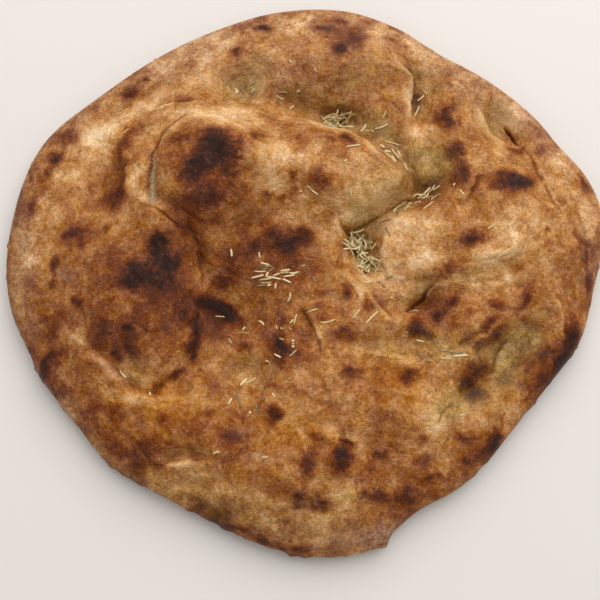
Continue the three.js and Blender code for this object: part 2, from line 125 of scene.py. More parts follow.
# The same columns as CREASES: narrow cracks and wrinkles in the crust.
WRINKLES = {
    "collar's outer edge": (0.6, 3, 1.3,
        [(-52, 94), (-66, 94), (-80, 93), (-90, 90), (-98, 84), (-105, 79), (-110, 69)]),
    "collar's left edge": (0.2, 1.2, 1.6, [(-105, 65), (-101, 59), (-100, 52), (-101, 45), (-103, 37)]),
    "crescent crack": (2.4, 1, 1.1,
        [(-62, 84), (-65, 83), (-75, 79), (-82, 72), (-84, 60), (-85, 51), (-87, 43), (-89, 37)]),
    "raw wall of the crescent": (2, 0, 2.2, [(-83, 62), (-83.5, 52), (-84, 44), (-84.5, 34), (-86, 28)]),
    "lip of the crescent": (-1.4, 0, 1.6, [(-87, 62), (-89, 54), (-90, 46), (-92, 38), (-92, 30)]),
    "folded flap": (-1.8, 0, 1.3, [(-95, 43), (-91, 36), (-87, 33), (-80, 30), (-75, 26), (-71, 21)]),
    "edge below the flap": (1.4, -1, 0.9, [(-85, 30), (-79, 27), (-73, 22), (-67, 18)]),
    "crack below the blister": (1.4, -1.2, 0.8,
        [(-68, 19), (-63, 16), (-61, 9), (-60, 3), (-59, -8), (-58, -15)]),
    "crack beside the left dome": (1.2, -0.8, 1.8,
        [(-57, -24), (-60, -34), (-60, -42), (-61, -49), (-64, -54)]),
    "core of the black pit": (1.6, 0, 2.4, [(-64, -19), (-57, -20), (-51, -22), (-45, -25), (-38, -29)]),
    "fold at the dome's side": (1.4, 0, 1.2, [(-55, -28), (-60, -32), (-65, -34), (-71, -38)]),
    "left dome's foot": (0.5, -0.8, 1.8, [(-61, -50), (-66, -56), (-73, -61), (-79, -67), (-83, -74)]),
    "left dome's lower left edge": (0.3, -0.9, 2.2,
        [(-132, -34), (-122, -42), (-112, -50), (-104, -58), (-97, -66)]),
    "upper left hollow's edge": (0.2, -0.8, 2,
        [(-25, 119), (-35, 116), (-43, 111), (-48, 105), (-48, 98), (-44, 91)]),
    "bulge's upper edge": (0.2, -1.8, 1.8,
        [(-23, 92), (-9, 88), (5, 84), (14, 82), (22, 80), (30, 75), (37, 67), (42, 59), (48, 53)]),
    "bulge's lower edge": (2, 2, 1,
        [(19, 22), (23, 19), (30, 22), (37, 26), (45, 31), (54, 36), (64, 40), (74, 45)]),
    "pit's left edge": (0.4, -3, 1.3,
        [(15, 33), (17, 25), (23, 16), (26, 9), (28, 1), (33, -5), (39, -9)]),
    "pit's right edge": (0, 2, 1.5, [(42, 24), (43, 15), (41, 6), (43, -3), (46, -10)]),
    "long dimple's bank": (1.4, -3.6, 1.2,
        [(52, 122), (57, 115), (62, 112), (63, 106), (61, 98), (60, 90), (59, 83)]),
    "faint fold of the upper lobe": (-0.8, 0, 0.9, [(37, 106), (43, 99), (50, 92), (57, 86)]),
    "thumb dimple's edge": (0.3, -2, 1.8,
        [(99, 99), (102, 92), (106, 87), (109, 80), (114, 75), (119, 74)]),
    "thumb dimple's slit": (4.5, 0.6, 0.6, [(115, 88), (117, 84), (119, 79), (121, 74), (123, 70)]),
    "line inside the upper right rim": (1, 0.6, 0.9,
        [(122, 72), (127, 60), (133, 46), (139, 34), (147, 22)]),
    "line inside the right rim": (0.8, 0.8, 1.2, [(148, 42), (153, 30), (156, 14), (157, 2), (157, -12)]),
    "lobe's first arc": (0.5, 0.7, 0.8,
        [(117, 30), (118, 22), (115, 11), (107, 4), (96, 0), (84, 0), (72, 0)]),
    "lobe's second arc": (0.4, 0.9, 0.9,
        [(62, -16), (70, -14), (79, -12), (95, -10), (110, -10), (124, -10)]),
    "right slit": (2.4, 1.4, 0.8, [(75, -6), (70, -12), (66, -18), (62, -22), (57, -25), (52, -27)]),
    "brown fold": (0.6, 1.4, 1.6, [(44, -10), (54, -9), (63, -8), (74, -6), (88, -3)]),
    "first stripe of the fold": (-1, 0, 2, [(68, -36), (76, -29), (83, -21), (92, -17)]),
    "second stripe of the fold": (-1.2, 0, 1.8, [(86, -46), (97, -40), (107, -33), (114, -29)]),
    "third stripe of the fold": (-1, 0, 1.8,
        [(100, -38), (108, -31), (115, -23), (122, -17), (128, -12)]),
    "middle edge": (0.8, 2.2, 1, [(-3, -22), (0, -27), (3, -34), (6, -41), (8, -47), (9, -53)]),
    "spot's edge": (0.4, 1.6, 1, [(22, -8), (26, -15), (30, -23)]),
    "oily hollow's lip": (0.4, -1.8, 1.2, [(34, -13), (39, -20), (44, -28), (52, -33)]),
    "oily hollow's lower lip": (0.4, 1.4, 1.2, [(24, -50), (36, -50), (48, -53), (60, -54)]),
    "notch above the lobe": (1.8, 0, 1.1, [(100, 50), (96, 49), (93, 44), (89, 37), (84, 34)]),
    "right hollow's edge": (1.6, -1.6, 1.5, [(103, -62), (104, -56), (105, -51), (108, -45), (112, -41)]),
    "right rim lip": (0.6, -1.3, 1.3,
        [(134, -10), (137, -17), (141, -24), (143, -33), (143, -43), (139, -53)]),
    "lower right streak": (1.4, 0, 1.1, [(81, -76), (75, -80), (71, -85), (67, -90)]),
    "small blister's crescent": (1.6, 0, 0.9, [(15, -97), (19, -96), (23, -98), (26, -102)]),
    "dent below the middle": (0.5, 0.5, 1.6,
        [(-16, -64), (-6, -68), (4, -74), (14, -78), (26, -76), (34, -72)]),
    "pleat": (0.4, -1, 1.6,
        [(-82, -112), (-78, -111), (-71, -107), (-64, -105), (-55, -107), (-48, -111)]),
    "rim layer": (0.4, 0.5, 1.6, [(-84, -118), (-77, -121), (-67, -124), (-56, -128), (-46, -132)]),
    "lower rim fold": (0.3, 0.8, 1.8, [(-34, -128), (-20, -133), (-4, -132), (10, -129), (22, -131)]),
    "left wrinkle": (0.8, 0.8, 0.8, [(-106, -55), (-104, -57), (-100, -60), (-97, -66)]),
    "streak on the blister": (1, 0, 0.7, [(-41, 54), (-37, 54), (-33, 53)]),
    "blister's upper right edge": (0, 1.2, 1.8,
        [(-14, 46), (-18, 58), (-25, 67), (-34, 74), (-44, 81), (-57, 85), (-68, 86)]),
    "fold below the blister": (-0.5, 0, 1.2, [(-62, 20), (-54, 24), (-45, 29), (-37, 35)]),
}

WRINKLE_REACH = 5.0  # a wrinkle's step levels out across this distance
WRINKLE_DRIFT = [(8.0, 1.3), (3.4, 0.7), (1.7, 0.25)]  # patch size, how far a wrinkle strays
WRINKLE_DRIFT_SEEDS = (83, 89)
RELIEF_OCTAVES = [(24.0, 0.9), (13.0, 0.7), (6.5, 0.45), (3.2, 0.28)]  # patch size, height
RELIEF_SEED = 5
FINE_FADE_WIDTH = 4.0  # all the small relief dies out this close to the widest line
SPOT_RISE = 3.2  # a brown spot is a small blister, this much for each unit of its browning
BUBBLES = 220  # smaller blisters all over the crust
BUBBLED_RADIUS = 150.0  # of the disc they lie in
BUBBLE_RADII = (1.8, 6.0)
BUBBLE_RISES = (0.3, 1.0)
BUBBLE_STRETCHES = (0.6, 1.0)  # the shorter radius as a share of the longer one
BUBBLE_STEEPNESS = 2.5
BUBBLE_SEED = 21
RAGGED_EDGE = [(13.0, 0.7), (6.5, 0.6), (3.2, 0.5), (1.8, 0.25)]  # patch size, stray of the widest line
RAGGED_EDGE_SEED = 31
# Angle and half width in degrees, and how far the widest line stands out there.
EDGE_BUMPS = [
    (125, 0.8, 1.1), (158, 1.2, 0.9), (175, 0.7, 0.9), (203, 0.9, 1.2), (208.3, 1.4, -1.2),
    (252.2, 1.0, 1.0), (266.7, 0.6, 1.1), (285.4, 1.5, 1.3), (293, 3.0, -1.0),
]

TOP_RINGS = 164  # of vertices, from the middle to the widest line
SIDE_RINGS = 12  # and on from there to the underside
SECTORS = 6  # each ring has this many more vertices than the one inside it
EDGE_CROWDING = 0.3  # how far the rings are drawn out towards the widest line
WRINKLE_CROWDING = 0.55  # share by which a place is drawn in to a wrinkle
WRINKLE_CROWDING_REACH = 5.0
WRINKLE_CROWDING_FADE = 6.0  # less so this close to the widest line

# ---- Browning, and painted shade and highlights --------------------------------------------------

# x, y, half length, half width, turn in degrees, amount of browning (a negative one is paler).
# The burns of the blister, the left dome, the black pit and a few other places; the black pit's and the
# rosemary pit's are partly painted shade.
SCORCHES_AND_PIT_SHADE = [
    (-53, 58, 15, 6.5, 46, 0.32), (-60, 48, 6, 5, 40, 0.2), (-51, 70, 5.5, 4, 0, 0.16),
    (-44, 60, 10, 5, -22, 0.24), (-55, 39, 8, 4.9, 0, 0.13), (-52, 55, 27, 22, 30, 0.24),
    (-31, 69, 4.9, 2.2, -35, 0.22), (-70, 67, 7, 5.5, 0, 0.2), (-37, 48, 12, 7, 0, 0.13),
    (-45, 31, 15, 8, 0, 0.12), (-82, 12, 3.8, 5.5, 0, 0.35), (-83, 10, 5, 8, 0, 0.26),
    (-77, -1, 7, 5, 15, 0.4), (-96, -3, 2.7, 2.7, 0, 0.3), (-96, -12, 4.4, 5.5, 0, 0.34),
    (-91, -7, 8, 5.5, 0, 0.25), (-80, -10, 8, 6, 0, 0.14), (-84, -5, 21, 17, -10, 0.3),
    (-48.5, -23.5, 8, 4, -28, 0.6), (-57, -19, 9, 6, -10, 0.26), (-40, -28, 7, 3, -25, 0.16),
    (-47, -11, 11, 5.5, 60, 0.15), (-12, 12, 7, 5.5, 10, 0.34), (-1, 16, 7, 4.4, -15, 0.34),
    (-29, 10, 4.9, 5.5, 0, 0.22), (-20, 16, 4.4, 2.7, 0, 0.15), (112, 46.5, 10, 5.8, -6, 0.52),
    (125, 46, 4.9, 3.8, 0, 0.28), (121, 42, 7, 4, -20, 0.16), (29, 12, 7, 6, 0, 0.34),
    (35, 1, 6, 5, 0, 0.3), (20, 84, 7, 3.5, -10, 0.26),
]
# Small brown spots, which rise a little. The narrow one at (65, 97), in the long upper dimple, is painted
# shade.
BROWN_PATCHES = [
    (18, 90, 8, 4.4, -10, 0.2), (79, 85, 5.5, 4.4, 10, 0.36), (85, 92, 4.4, 2.2, 40, 0.18),
    (90, 12.5, 9, 6.2, 22, 0.44), (60, -35, 4.4, 4.9, 0, 0.34), (68, -38, 4.4, 2.7, -20, 0.2),
    (56, -61, 4.9, 4.9, 0, 0.28), (95, -58, 7, 6, 30, 0.28), (88, -67, 6, 4.4, 30, 0.2),
    (20, 127, 9, 6, -20, 0.14), (23, -61, 5.5, 4.9, -10, 0.32), (21, -15, 3.8, 5.5, 0, 0.3),
    (35, -23, 3.3, 3.8, 0, 0.22), (-13, -45, 2.7, 7, 0, 0.3), (-17, -81, 4.9, 4.9, 20, 0.4),
    (7, -93, 4.4, 3.3, 20, 0.26), (12, -96, 2.7, 2.2, 0, 0.2), (17, -107, 6, 7.5, 10, 0.44),
    (0, -110, 3.8, 7, 10, 0.28), (6, -129, 6, 4.9, 0, 0.38), (-4, -126, 4.4, 3.8, 0, 0.3),
    (41, -105, 3.3, 2.2, -10, 0.26), (36, -126, 8, 2.7, -10, 0.22), (104, -96, 6, 8, -25, 0.34),
    (53, -126, 4.4, 7, 0, 0.32), (7, 46, 8, 6, 15, 0.36), (22, 68, 3.8, 3.8, 0, 0.3),
    (12, 68, 3.8, 2.7, 0, 0.22), (-9, 49, 1.6, 4.4, 0, 0.25), (-7, 41, 2.2, 2.2, 0, 0.3),
    (-40, 128, 2.7, 3.3, 0, 0.28), (-27, 143, 4.4, 1.6, 0, 0.28), (20, 125, 3.3, 4.4, -20, 0.26),
    (27, 135, 9, 7, -20, 0.2), (21, 147, 4.9, 2.2, 0, 0.2), (10, 140, 4.4, 2.2, -10, 0.18),
    (46, 134, 3.8, 2.7, -10, 0.2), (59, 130, 4.4, 3.3, 0, 0.2), (84, 65, 5.5, 7, 0, 0.22),
    (86, 51, 4.6, 8, 0, 0.25), (122, 69, 4.4, 3.3, 0, 0.3), (-137, 75, 6, 5, 40, 0.34),
    (-145, 58, 4.4, 9, -32, 0.26), (-140, 62, 3.8, 3.3, 30, 0.26), (-101, 104, 7, 4.4, 38, 0.3),
    (-94, 111, 2.2, 1.6, 0, 0.3), (-156, 33, 3.6, 8, -8, 0.22), (-147, 64, 2.2, 2.7, 0, 0.2),
    (149, -41, 4.9, 14, -12, 0.34), (140, -55, 5.5, 7, -35, 0.3), (154, 14, 2.7, 4.4, 0, 0.2),
    (159, -10, 2.2, 7, 0, 0.22), (159, 48, 4.4, 5.5, 50, 0.2), (133, 19, 1.6, 1.6, 0, 0.3),
    (144, 35, 2.7, 4.4, -30, 0.2), (-140, 1, 2.7, 7, 10, 0.26), (-140, -10, 3.3, 3.3, 0, 0.22),
    (-129, 18, 6, 2.7, 5, 0.22), (-125, 11, 2.2, 4.4, 0, 0.2), (-111, 18, 4.9, 3.3, 20, 0.2),
    (-108, 38, 6, 8, 0, 0.17), (-94, 81, 13, 5, 32, 0.18), (-103, 66, 4.4, 10, -22, 0.11),
    (-125, -21, 2.7, 2.7, 0, 0.24), (-112, -36, 6.5, 9, 0, 0.2), (-114, -24, 9, 5.5, 0, 0.16),
    (-96, -44, 6, 9, 10, 0.18), (-97, -35, 3.3, 2.2, 0, 0.24), (-104, -53, 3.3, 3.3, 0, 0.3),
    (-69, -25, 4.9, 5.5, 0, 0.22), (-82, -69, 4.9, 4.4, 45, 0.24), (-72, -60, 5.5, 2.7, 25, 0.2),
    (-60, -45, 3.3, 8, 0, 0.24), (-138, -50, 11, 4.4, 0, 0.24), (-144, -59, 3.3, 7, 0, 0.22),
    (-134, -72, 8, 4.4, -30, 0.2), (-105, -83, 6, 7, 0, 0.28), (-118, -85, 8, 5.5, -50, 0.22),
    (-89, -103, 9, 5.5, 0, 0.24), (-76, -85, 3.8, 4.9, 0, 0.18), (-98, -107, 8, 3.3, -35, 0.2),
    (-34, -44, 4.9, 3.3, 0, 0.2), (-16, -68, 2.7, 2.2, 0, 0.2), (-38, -93, 7, 3.3, 20, 0.2),
    (-52, -80, 3.8, 3.3, 0, 0.2), (7, -16, 4.9, 2.7, 0, 0.2), (3, -24, 4.9, 2.7, 0, 0.18),
    (8, -29, 3.3, 2.2, 0, 0.2), (21, -40, 7, 2.7, -10, 0.22), (81, -22, 5.5, 3.3, 35, 0.24),
    (74, -29, 4.9, 2.2, 40, 0.22), (106, -22, 7, 2.7, -15, 0.24), (100, -33, 6, 2.7, 40, 0.26),
    (89, -40, 8, 2.2, 30, 0.2), (121, -19, 2.2, 7, -40, 0.24), (104, -40, 8, 2.7, 30, 0.26),
    (93, -46, 5.5, 2.7, 40, 0.22), (119, -32, 3.3, 2.7, 20, 0.18), (78, -4, 4.9, 2.7, 10, 0.3),
    (65, -6, 10, 2.7, 8, 0.2), (128, -52, 4.4, 3.3, 30, 0.2), (135, -67, 8, 5.5, -45, 0.2),
    (93, -72, 8, 2.7, 5, 0.22), (-69, 92, 5.5, 2.2, 10, 0.18), (-17, 36, 8, 3.3, 0, 0.18),
    (-30, -146, 16, 2.2, -18, 0.2), (-4, -153, 11, 2.7, -5, 0.2), (61, -96, 3.3, 2.2, 0, 0.2),
    (85, -96, 3.8, 2.7, 20, 0.18), (63, -106, 4.4, 3.3, 20, 0.18), (88, -109, 2.7, 3.3, 0, 0.2),
    (72, -117, 8, 2.2, 15, 0.18), (-97, -117, 7, 1.6, -25, 0.2), (-60, -40, 4.4, 14, 0, 0.14),
    (65, 97, 3, 8, -6, 0.2), (-144, -57, 7, 8, -20, 0.16), (10, 109, 9, 5, 0, 0.05),
]
# Pale edges and streaks.
PALE_PATCHES = [
    (-133, 55, 8, 14, -35, -0.16), (-117, 79, 8, 12, -45, -0.22), (-95, 92, 13, 4.4, 25, -0.2),
    (-155, 6, 3.8, 12, 0, -0.14), (-126, -41, 8, 4.4, -15, -0.2), (-107, -56, 12, 3.3, -25, -0.14),
    (-95, 44, 5.5, 9, 0, -0.18), (-86, 32, 5.5, 2.7, -35, -0.22), (-38, 89, 11, 3.3, -12, -0.16),
    (-23, 79, 8, 3.3, -25, -0.16), (-15, 63, 5.5, 8, 20, -0.22), (-17, 43, 2.7, 7, 10, -0.14),
    (-4, 58, 9, 3.8, -10, -0.16), (36, 64, 9, 3.8, -35, -0.14), (21, 27, 3.3, 7, 20, -0.2),
    (24, 9, 2.2, 8, -15, -0.2), (21, -6, 5.5, 2.7, -30, -0.16), (6, -42, 2.2, 8, -15, -0.18),
    (29, -18, 2.7, 5.5, -20, -0.16), (63, 1, 9, 2.7, 0, -0.14), (106, 2, 10, 2.2, 15, -0.2),
    (114, 12, 1.6, 8, 0, -0.2), (95, -11, 13, 1.6, 0, -0.22), (112, -9, 9, 2.2, 0, -0.18),
    (60, 22, 13, 7, 0, -0.14), (109, 66, 4.4, 9, -20, -0.14), (59, 96, 2.7, 10, 0, -0.22),
    (62, 78, 7, 3.3, 20, -0.16), (81, -49, 11, 2.2, 0, -0.16), (51, -52, 13, 2.7, 0, -0.14),
    (-65, -107, 10, 1.6, 3, -0.22), (71, -88, 7, 4.9, 0, -0.1), (23, -96, 8, 2.2, -10, -0.16),
    (-95, -75, 7, 3.3, 0, -0.14), (-91, 51, 4, 12, 0, -0.16),
]
# Pale, oiled dough with an olive tinge, in the hollows and on the shaded side of the bulge, where it is
# partly painted shade. The amount is the share of that colour.
OILED_AND_SHADED_PATCHES = [
    (46, 42, 24, 13, 30, 0.7), (30, 26, 12, 8, 0, 0.6), (16, 90, 26, 8, -22, 0.9),
    (44, 74, 16, 9, -45, 0.9), (68, 60, 13, 12, 0, 0.8), (33, 8, 8, 15, 15, 0.8),
    (80, -46, 26, 8, -5, 0.6), (113, -50, 24, 10, 60, 0.8), (78, -80, 13, 7, 35, 0.8),
    (-4, 103, 11, 5.5, 0, 0.4), (-36, 107, 12, 11, 0, 0.95), (-27, 119, 10, 5.5, 30, 0.5),
    (63, 114, 8, 5.5, 0, 0.75), (67, 96, 4.4, 11, 10, 0.75), (74, 106, 8, 4.4, 0, 0.4),
    (109, 89, 8, 11, -25, 0.85), (115, 82, 4.4, 5.5, 0, 0.5), (-66, -124, 40, 9, -22, 0.35),
    (63, -15, 10, 5.5, 35, 0.75), (90, -6, 15, 2.7, 3, 0.6), (43, -45, 12, 8, 0, 0.6),
    (120, -43, 13, 9, 10, 0.7), (109, -55, 4.4, 9, 0, 0.7), (89, -74, 16, 9, 10, 0.65),
    (75, -80, 8, 8, 0, 0.4), (-31, -59, 12, 7, 0, 0.55), (70, 55, 11, 14, 0, 0.45),
    (33, 118, 13, 11, 0, 0.3), (22, 108, 8, 5.5, 0, 0.4), (-63, -104, 13, 2.2, 0, 0.5),
    (-18, -134, 50, 14, -6, 0.35), (23, -128, 16, 8, 0, 0.3), (-89, -59, 9, 7, 0, 0.4),
]
# Thin dustings of flour. The amount is how dense they are, up to 1.
FLOURED_PATCHES = [
    (40, -147, 13, 6, 20, 0.6), (28, -149, 20, 5, 8, 0.45), (-132, -6, 6, 5, 0, 0.4),
    (-112, -54, 6, 2, -35, 0.6), (-104, -61, 6, 2.4, -40, 0.5), (-93, -75, 6, 3, -20, 0.6),
    (-93, -85, 8, 3, -35, 0.3), (-32, -91, 5, 2.4, 20, 0.35), (-27, -105, 4, 1.5, 0, 0.4),
    (-129, -40, 8, 3, -50, 0.35), (-68, -106, 7, 1.2, 8, 0.3),
]
# Where the crust has less colour. The amount is the share of its saturation
# that is lost, or gained where it is negative.
GREY_PATCHES = [
    (135, 85, 30, 14, -45, 0.12), (85, 120, 34, 16, -38, 0.09), (20, 145, 50, 16, 0, 0.08),
    (-70, 128, 42, 14, 28, 0.12), (-10, 112, 40, 14, 0, 0.06), (-140, -78, 38, 12, -48, 0.1),
    (-159, 10, 9, 58, 4, 0.1), (-134, 88, 26, 12, 42, 0.1), (160, 10, 9, 24, 0, 0.08),
    (-80, -80, 32, 16, 0, -0.07), (48, -64, 16, 14, 0, -0.08), (-8, -92, 22, 10, 0, -0.06),
    (-5, -146, 50, 10, 0, 0.04),
]
RAW_WALL = [(-83, 60), (-83.5, 52), (-84, 44), (-84.5, 35)]  # torn, unbaked dough in the crescent crack
RAW_WIDTH = 2.7  # at its lower end
RAW_TAPER = 0.2  # share of that width at its upper end

# Wide areas a little browner or paler than the rest: partly uneven browning, partly painted shade and
# light.
BROAD_BROWNING_AND_SHADE = [
    (6, -88, 40, 24, 0, -0.025), (-72, 117, 9, 7, 0, 0.11), (-17, 117, 12, 9, 0, -0.05),
    (28, 116, 14, 11, 0, -0.04), (73, 128, 12, 8, -20, -0.08), (118, 104, 34, 10, -43, -0.09),
    (93, 109, 11, 9, 0, -0.06), (66, 99, 11, 11, 0, -0.06), (61, 91, 4, 8, 0, -0.08),
    (-46, 104, 12, 7, 0, -0.03), (116, 87, 12, 14, -47, -0.11), (-45, 80, 18, 9, -5, -0.26),
    (-74, 82, 15, 9, 15, -0.18), (-89, 94, 27, 9, 28, -0.1), (16, 80, 15, 7, -15, -0.26),
    (67, 78, 12, 9, 0, -0.12), (-127, 76, 14, 11, -40, -0.12), (-119, 70, 6, 9, -30, -0.06),
    (-103, 73, 8, 9, 0, 0.08), (129, 72, 10, 11, 0, -0.05), (155, 62, 12, 8, -50, -0.05),
    (83, 54, 10, 12, 0, 0.09), (67, 45, 8, 9, 0, 0.17), (73, 63, 8, 7, 0, -0.09),
    (-70, 49, 9, 10, 0, 0.04), (-101, 47, 8, 13, 0, 0.2), (-26, 52, 11, 15, 0, -0.18),
    (16, 60, 11, 5, 0, 0.05), (24, 46, 19, 14, 0, -0.1), (44, 29, 14, 24, 0, -0.13),
    (32, 27, 10, 8, 20, -0.12), (108, 41, 11, 7, 0, 0.09), (-133, 52, 12, 14, 0, 0.05),
    (-129, 41, 7, 12, 0, -0.1), (-60, 25, 15, 13, 0, 0.24), (-23, 22, 13, 10, 0, 0.13),
    (79, 7, 30, 19, 0, -0.1), (65, -2, 12, 10, 0, -0.12), (68, 24, 12, 10, 0, -0.06),
    (102, 10, 11, 8, 0, 0.06), (123, 15, 24, 20, 0, -0.11), (-140, 30, 14, 17, 0, -0.09),
    (-155, 30, 8, 14, 10, -0.06), (-130, 18, 10, 21, 0, 0.09), (-76, 9, 11, 7, 0, 0.1),
    (-30, 0, 25, 16, 0, 0.21), (-3, 0, 11, 12, 0, 0.18), (39, -3, 11, 12, 0, -0.15),
    (-106, -17, 14, 11, 0, 0.1), (-121, -6, 20, 11, 0, 0.08), (165, 8, 8, 20, 0, 0.09),
    (146, -14, 11, 22, 0, 0.05), (-130, -61, 9, 9, 0, -0.03), (-104, -45, 19, 16, 0, 0.2),
    (-74, -29, 21, 15, 0, 0.23), (-85, -49, 14, 10, 0, 0.07), (-146, -33, 12, 17, 0, 0.15),
    (-160, -20, 7, 20, 0, -0.05), (-130, -30, 9, 11, 0, 0.08), (-48, -33, 12, 9, 0, 0.24),
    (-21, -34, 12, 10, 0, 0.13), (73, -27, 19, 13, 0, 0.18), (137, -42, 8, 13, 0, 0.08),
    (42, -43, 9, 6, 0, -0.09), (109, -47, 10, 7, 55, -0.12), (95, -48, 12, 11, 0, -0.05),
    (-9, -51, 14, 18, 0, 0.22), (25, -61, 9, 9, 0, 0.07), (90, -65, 9, 8, 0, 0.1),
    (122, -61, 14, 16, 0, 0.14), (-102, -60, 12, 7, -30, 0.05), (-89, -96, 22, 14, 0, 0.15),
    (-102, -84, 12, 9, -30, -0.12), (-49, -91, 22, 16, 0, 0.17), (66, -88, 10, 8, 0, -0.04),
    (94, -104, 16, 14, 0, 0.12), (-28, -96, 13, 10, 0, -0.06), (-14, -112, 22, 16, 0, 0.14),
    (50, -102, 16, 14, 0, 0.12), (23, -110, 8, 7, 0, -0.06), (42, -115, 14, 8, 0, 0.11),
    (66, -116, 12, 9, 0, 0.1), (44, -136, 14, 14, 0, 0.16), (26, -152, 14, 5, 0, 0.08),
    (-45, -137, 14, 11, -20, 0.11),
]

BASE_BROWNING = 0.44
BURNT_BROWNING = 0.68  # browning levels off above this
BURNT_SPREAD = 0.28  # how far it can still go from there
PATCH_STEEPNESS = 2.5  # how sharply a patch ends
SPOT_STEEPNESS = 2.4  # and a scorch or brown spot
PATCH_DRIFT = [(14.0, 2.6), (4.5, 1.1), (2.4, 0.6)]  # patch size, how far a patch's edge strays
BROWNING_DRIFT_SEEDS = (41, 47)
OIL_AND_SHADE_DRIFT_SEEDS = (61, 67)
UNEVEN_BROWNING = [(38.0, 0.05), (17.0, 0.06), (8.0, 0.055), (4.0, 0.035)]  # patch size, amount
UNEVEN_BROWNING_SEED = 53
FOOT_BROWNING = 0.22  # the rim is browner towards the underside
FOOT_BROWNING_HEIGHT = 1.8 * GIRTH_HEIGHT  # from here down
RIM_BROWNING = 0.05  # in a band along the rim
RIM_BAND = (4.5, 4.0)  # how far inside the widest line, and half its width
RIM_MOTTLES = [(8.0, 0.07), (4.0, 0.06)]  # patch size, how far the browning there goes up and down
RIM_MOTTLES_SEED = 61
RIM_MOTTLED_WIDTH = 14.0  # how far in from the widest line they stay strong, and then fade
CRACK_SHADE = 0.11  # painted shade down in a wrinkle, for each millimetre of its depth
LIP_PALENESS_AND_HIGHLIGHT = 0.06  # paler lip on the higher bank, partly stretched skin and partly painted highlight, for each millimetre of step
LIP_WIDTH = 1.4
STEP_FOOT_SHADE = 0.04  # painted shade at the foot of a wrinkle's step, on its lower bank, for each millimetre of the step
STEP_FOOT_SPREAD = 3  # times the wrinkle's half width
TINT_CUTOFF = 4  # times a tint's half width, where it has died out
GRAIN_RISE = 0.55  # height between two strokes of the crust's grain
GRAIN_LENGTH = 7.0


# ---- Numbers --------------------------------------------------------------------------------------

NOISE_CELLS = 128  # a noise repeats after this many patches
NOISE_SHIFT = (0.37, 0.61)  # keeps the corners of its lattice off the loaf's middle


def smoothstep(value):
    value = np.clip(value, 0.0, 1.0)
    return value * value * (3.0 - 2.0 * value)


def value_noise(x, y, size, seed):
    """Smooth noise from -1 to 1 whose patches are about size across."""
    lattice = np.random.default_rng(seed).uniform(-1.0, 1.0, (NOISE_CELLS, NOISE_CELLS))
    u = x / size + NOISE_CELLS / 2 + NOISE_SHIFT[0]
    v = y / size + NOISE_CELLS / 2 + NOISE_SHIFT[1]
    column, row = np.floor(u).astype(int), np.floor(v).astype(int)
    mix_u, mix_v = smoothstep(u - column), smoothstep(v - row)

    def corner(i, j):
        return lattice[(column + i) % NOISE_CELLS, (row + j) % NOISE_CELLS]

    low = corner(0, 0) * (1 - mix_u) + corner(1, 0) * mix_u
    high = corner(0, 1) * (1 - mix_u) + corner(1, 1) * mix_u
    return low * (1 - mix_v) + high * mix_v


def layered_noise(x, y, layers, seed):
    """The sum of a noise for each patch size and amount, seeded with seed and the numbers after it."""
    return sum(amount * value_noise(x, y, size, seed + i) for i, (size, amount) in enumerate(layers))


def strayed(x, y, drift, seeds):
    """Places moved a little, which roughens the lines of what is drawn there."""
    return x + layered_noise(x, y, drift, seeds[0]), y + layered_noise(x, y, drift, seeds[1])


def smooth_curve(corners, closed, steps):
    """A uniform Catmull-Rom curve through the corners, as steps + 1 points."""
    corners = np.array(corners, float)
    spans = len(corners) if closed else len(corners) - 1
    if closed:
        padded = np.vstack([corners[-1:], corners, corners[:2]])
    else:
        before = 2 * corners[0] - corners[1]
        after = 2 * corners[-1] - corners[-2]
        padded = np.vstack([before, corners, after])
    place = np.linspace(0, spans, steps + 1)
    span = np.minimum(place.astype(int), spans - 1)
    t = (place - span)[:, None]
    p0, p1, p2, p3 = (padded[span + i] for i in range(4))
    slope1, slope2 = (p2 - p0) / 2, (p3 - p1) / 2
    square = 3 * (p2 - p1) - 2 * slope1 - slope2
    cube = 2 * (p1 - p2) + slope1 + slope2
    return p1 + slope1 * t + square * t**2 + cube * t**3


def in_ellipse(x, y, middle_x, middle_y, long, wide, turn):
    """Distance from the middle of a turned ellipse, 1 on its line."""
    angle = math.radians(turn)
    along = (x - middle_x) * math.cos(angle) + (y - middle_y) * math.sin(angle)
    across = (y - middle_y) * math.cos(angle) - (x - middle_x) * math.sin(angle)
    return np.hypot(along / long, across / wide)


def nearest_on_path(x, y, path, reach):
    """The places within reach of a smoothed path: which they are, their distance and offset from it,
    the bank they lie on (1 is left, -1 right) and how far along it they are (0 to 1)."""
    points = smooth_curve(path, False, PATH_STEPS)
    low, high = points.min(0) - reach, points.max(0) + reach
    near = np.flatnonzero((x > low[0]) & (x < high[0]) & (y > low[1]) & (y < high[1]))
    place = np.stack([x[near], y[near]], 1)
    distance, offset = np.full(len(near), np.inf), np.zeros((len(near), 2))
    bank, share = np.zeros(len(near)), np.zeros(len(near))
    for i in range(len(points) - 1):
        run = points[i + 1] - points[i]
        along = np.clip((place - points[i]) @ run / (run @ run), 0, 1)
        off = place - points[i] - along[:, None] * run
        nearer = np.hypot(*off.T) < distance
        distance[nearer] = np.hypot(*off[nearer].T)
        offset[nearer] = off[nearer]
        bank[nearer] = np.sign(run[0] * off[nearer, 1] - run[1] * off[nearer, 0])
        share[nearer] = (i + along[nearer]) / (len(points) - 1)
    return near, distance, offset, bank, share


def patch_field(x, y, patches, steepness=PATCH_STEEPNESS):
    """The sum of soft patches."""
    field = np.zeros(x.shape)
    for middle_x, middle_y, long, wide, turn, amount in patches:
        field += amount * np.exp(-(in_ellipse(x, y, middle_x, middle_y, long, wide, turn) ** steepness))
    return field


# ---- Height of the crust ---------------------------------------------------------------------------

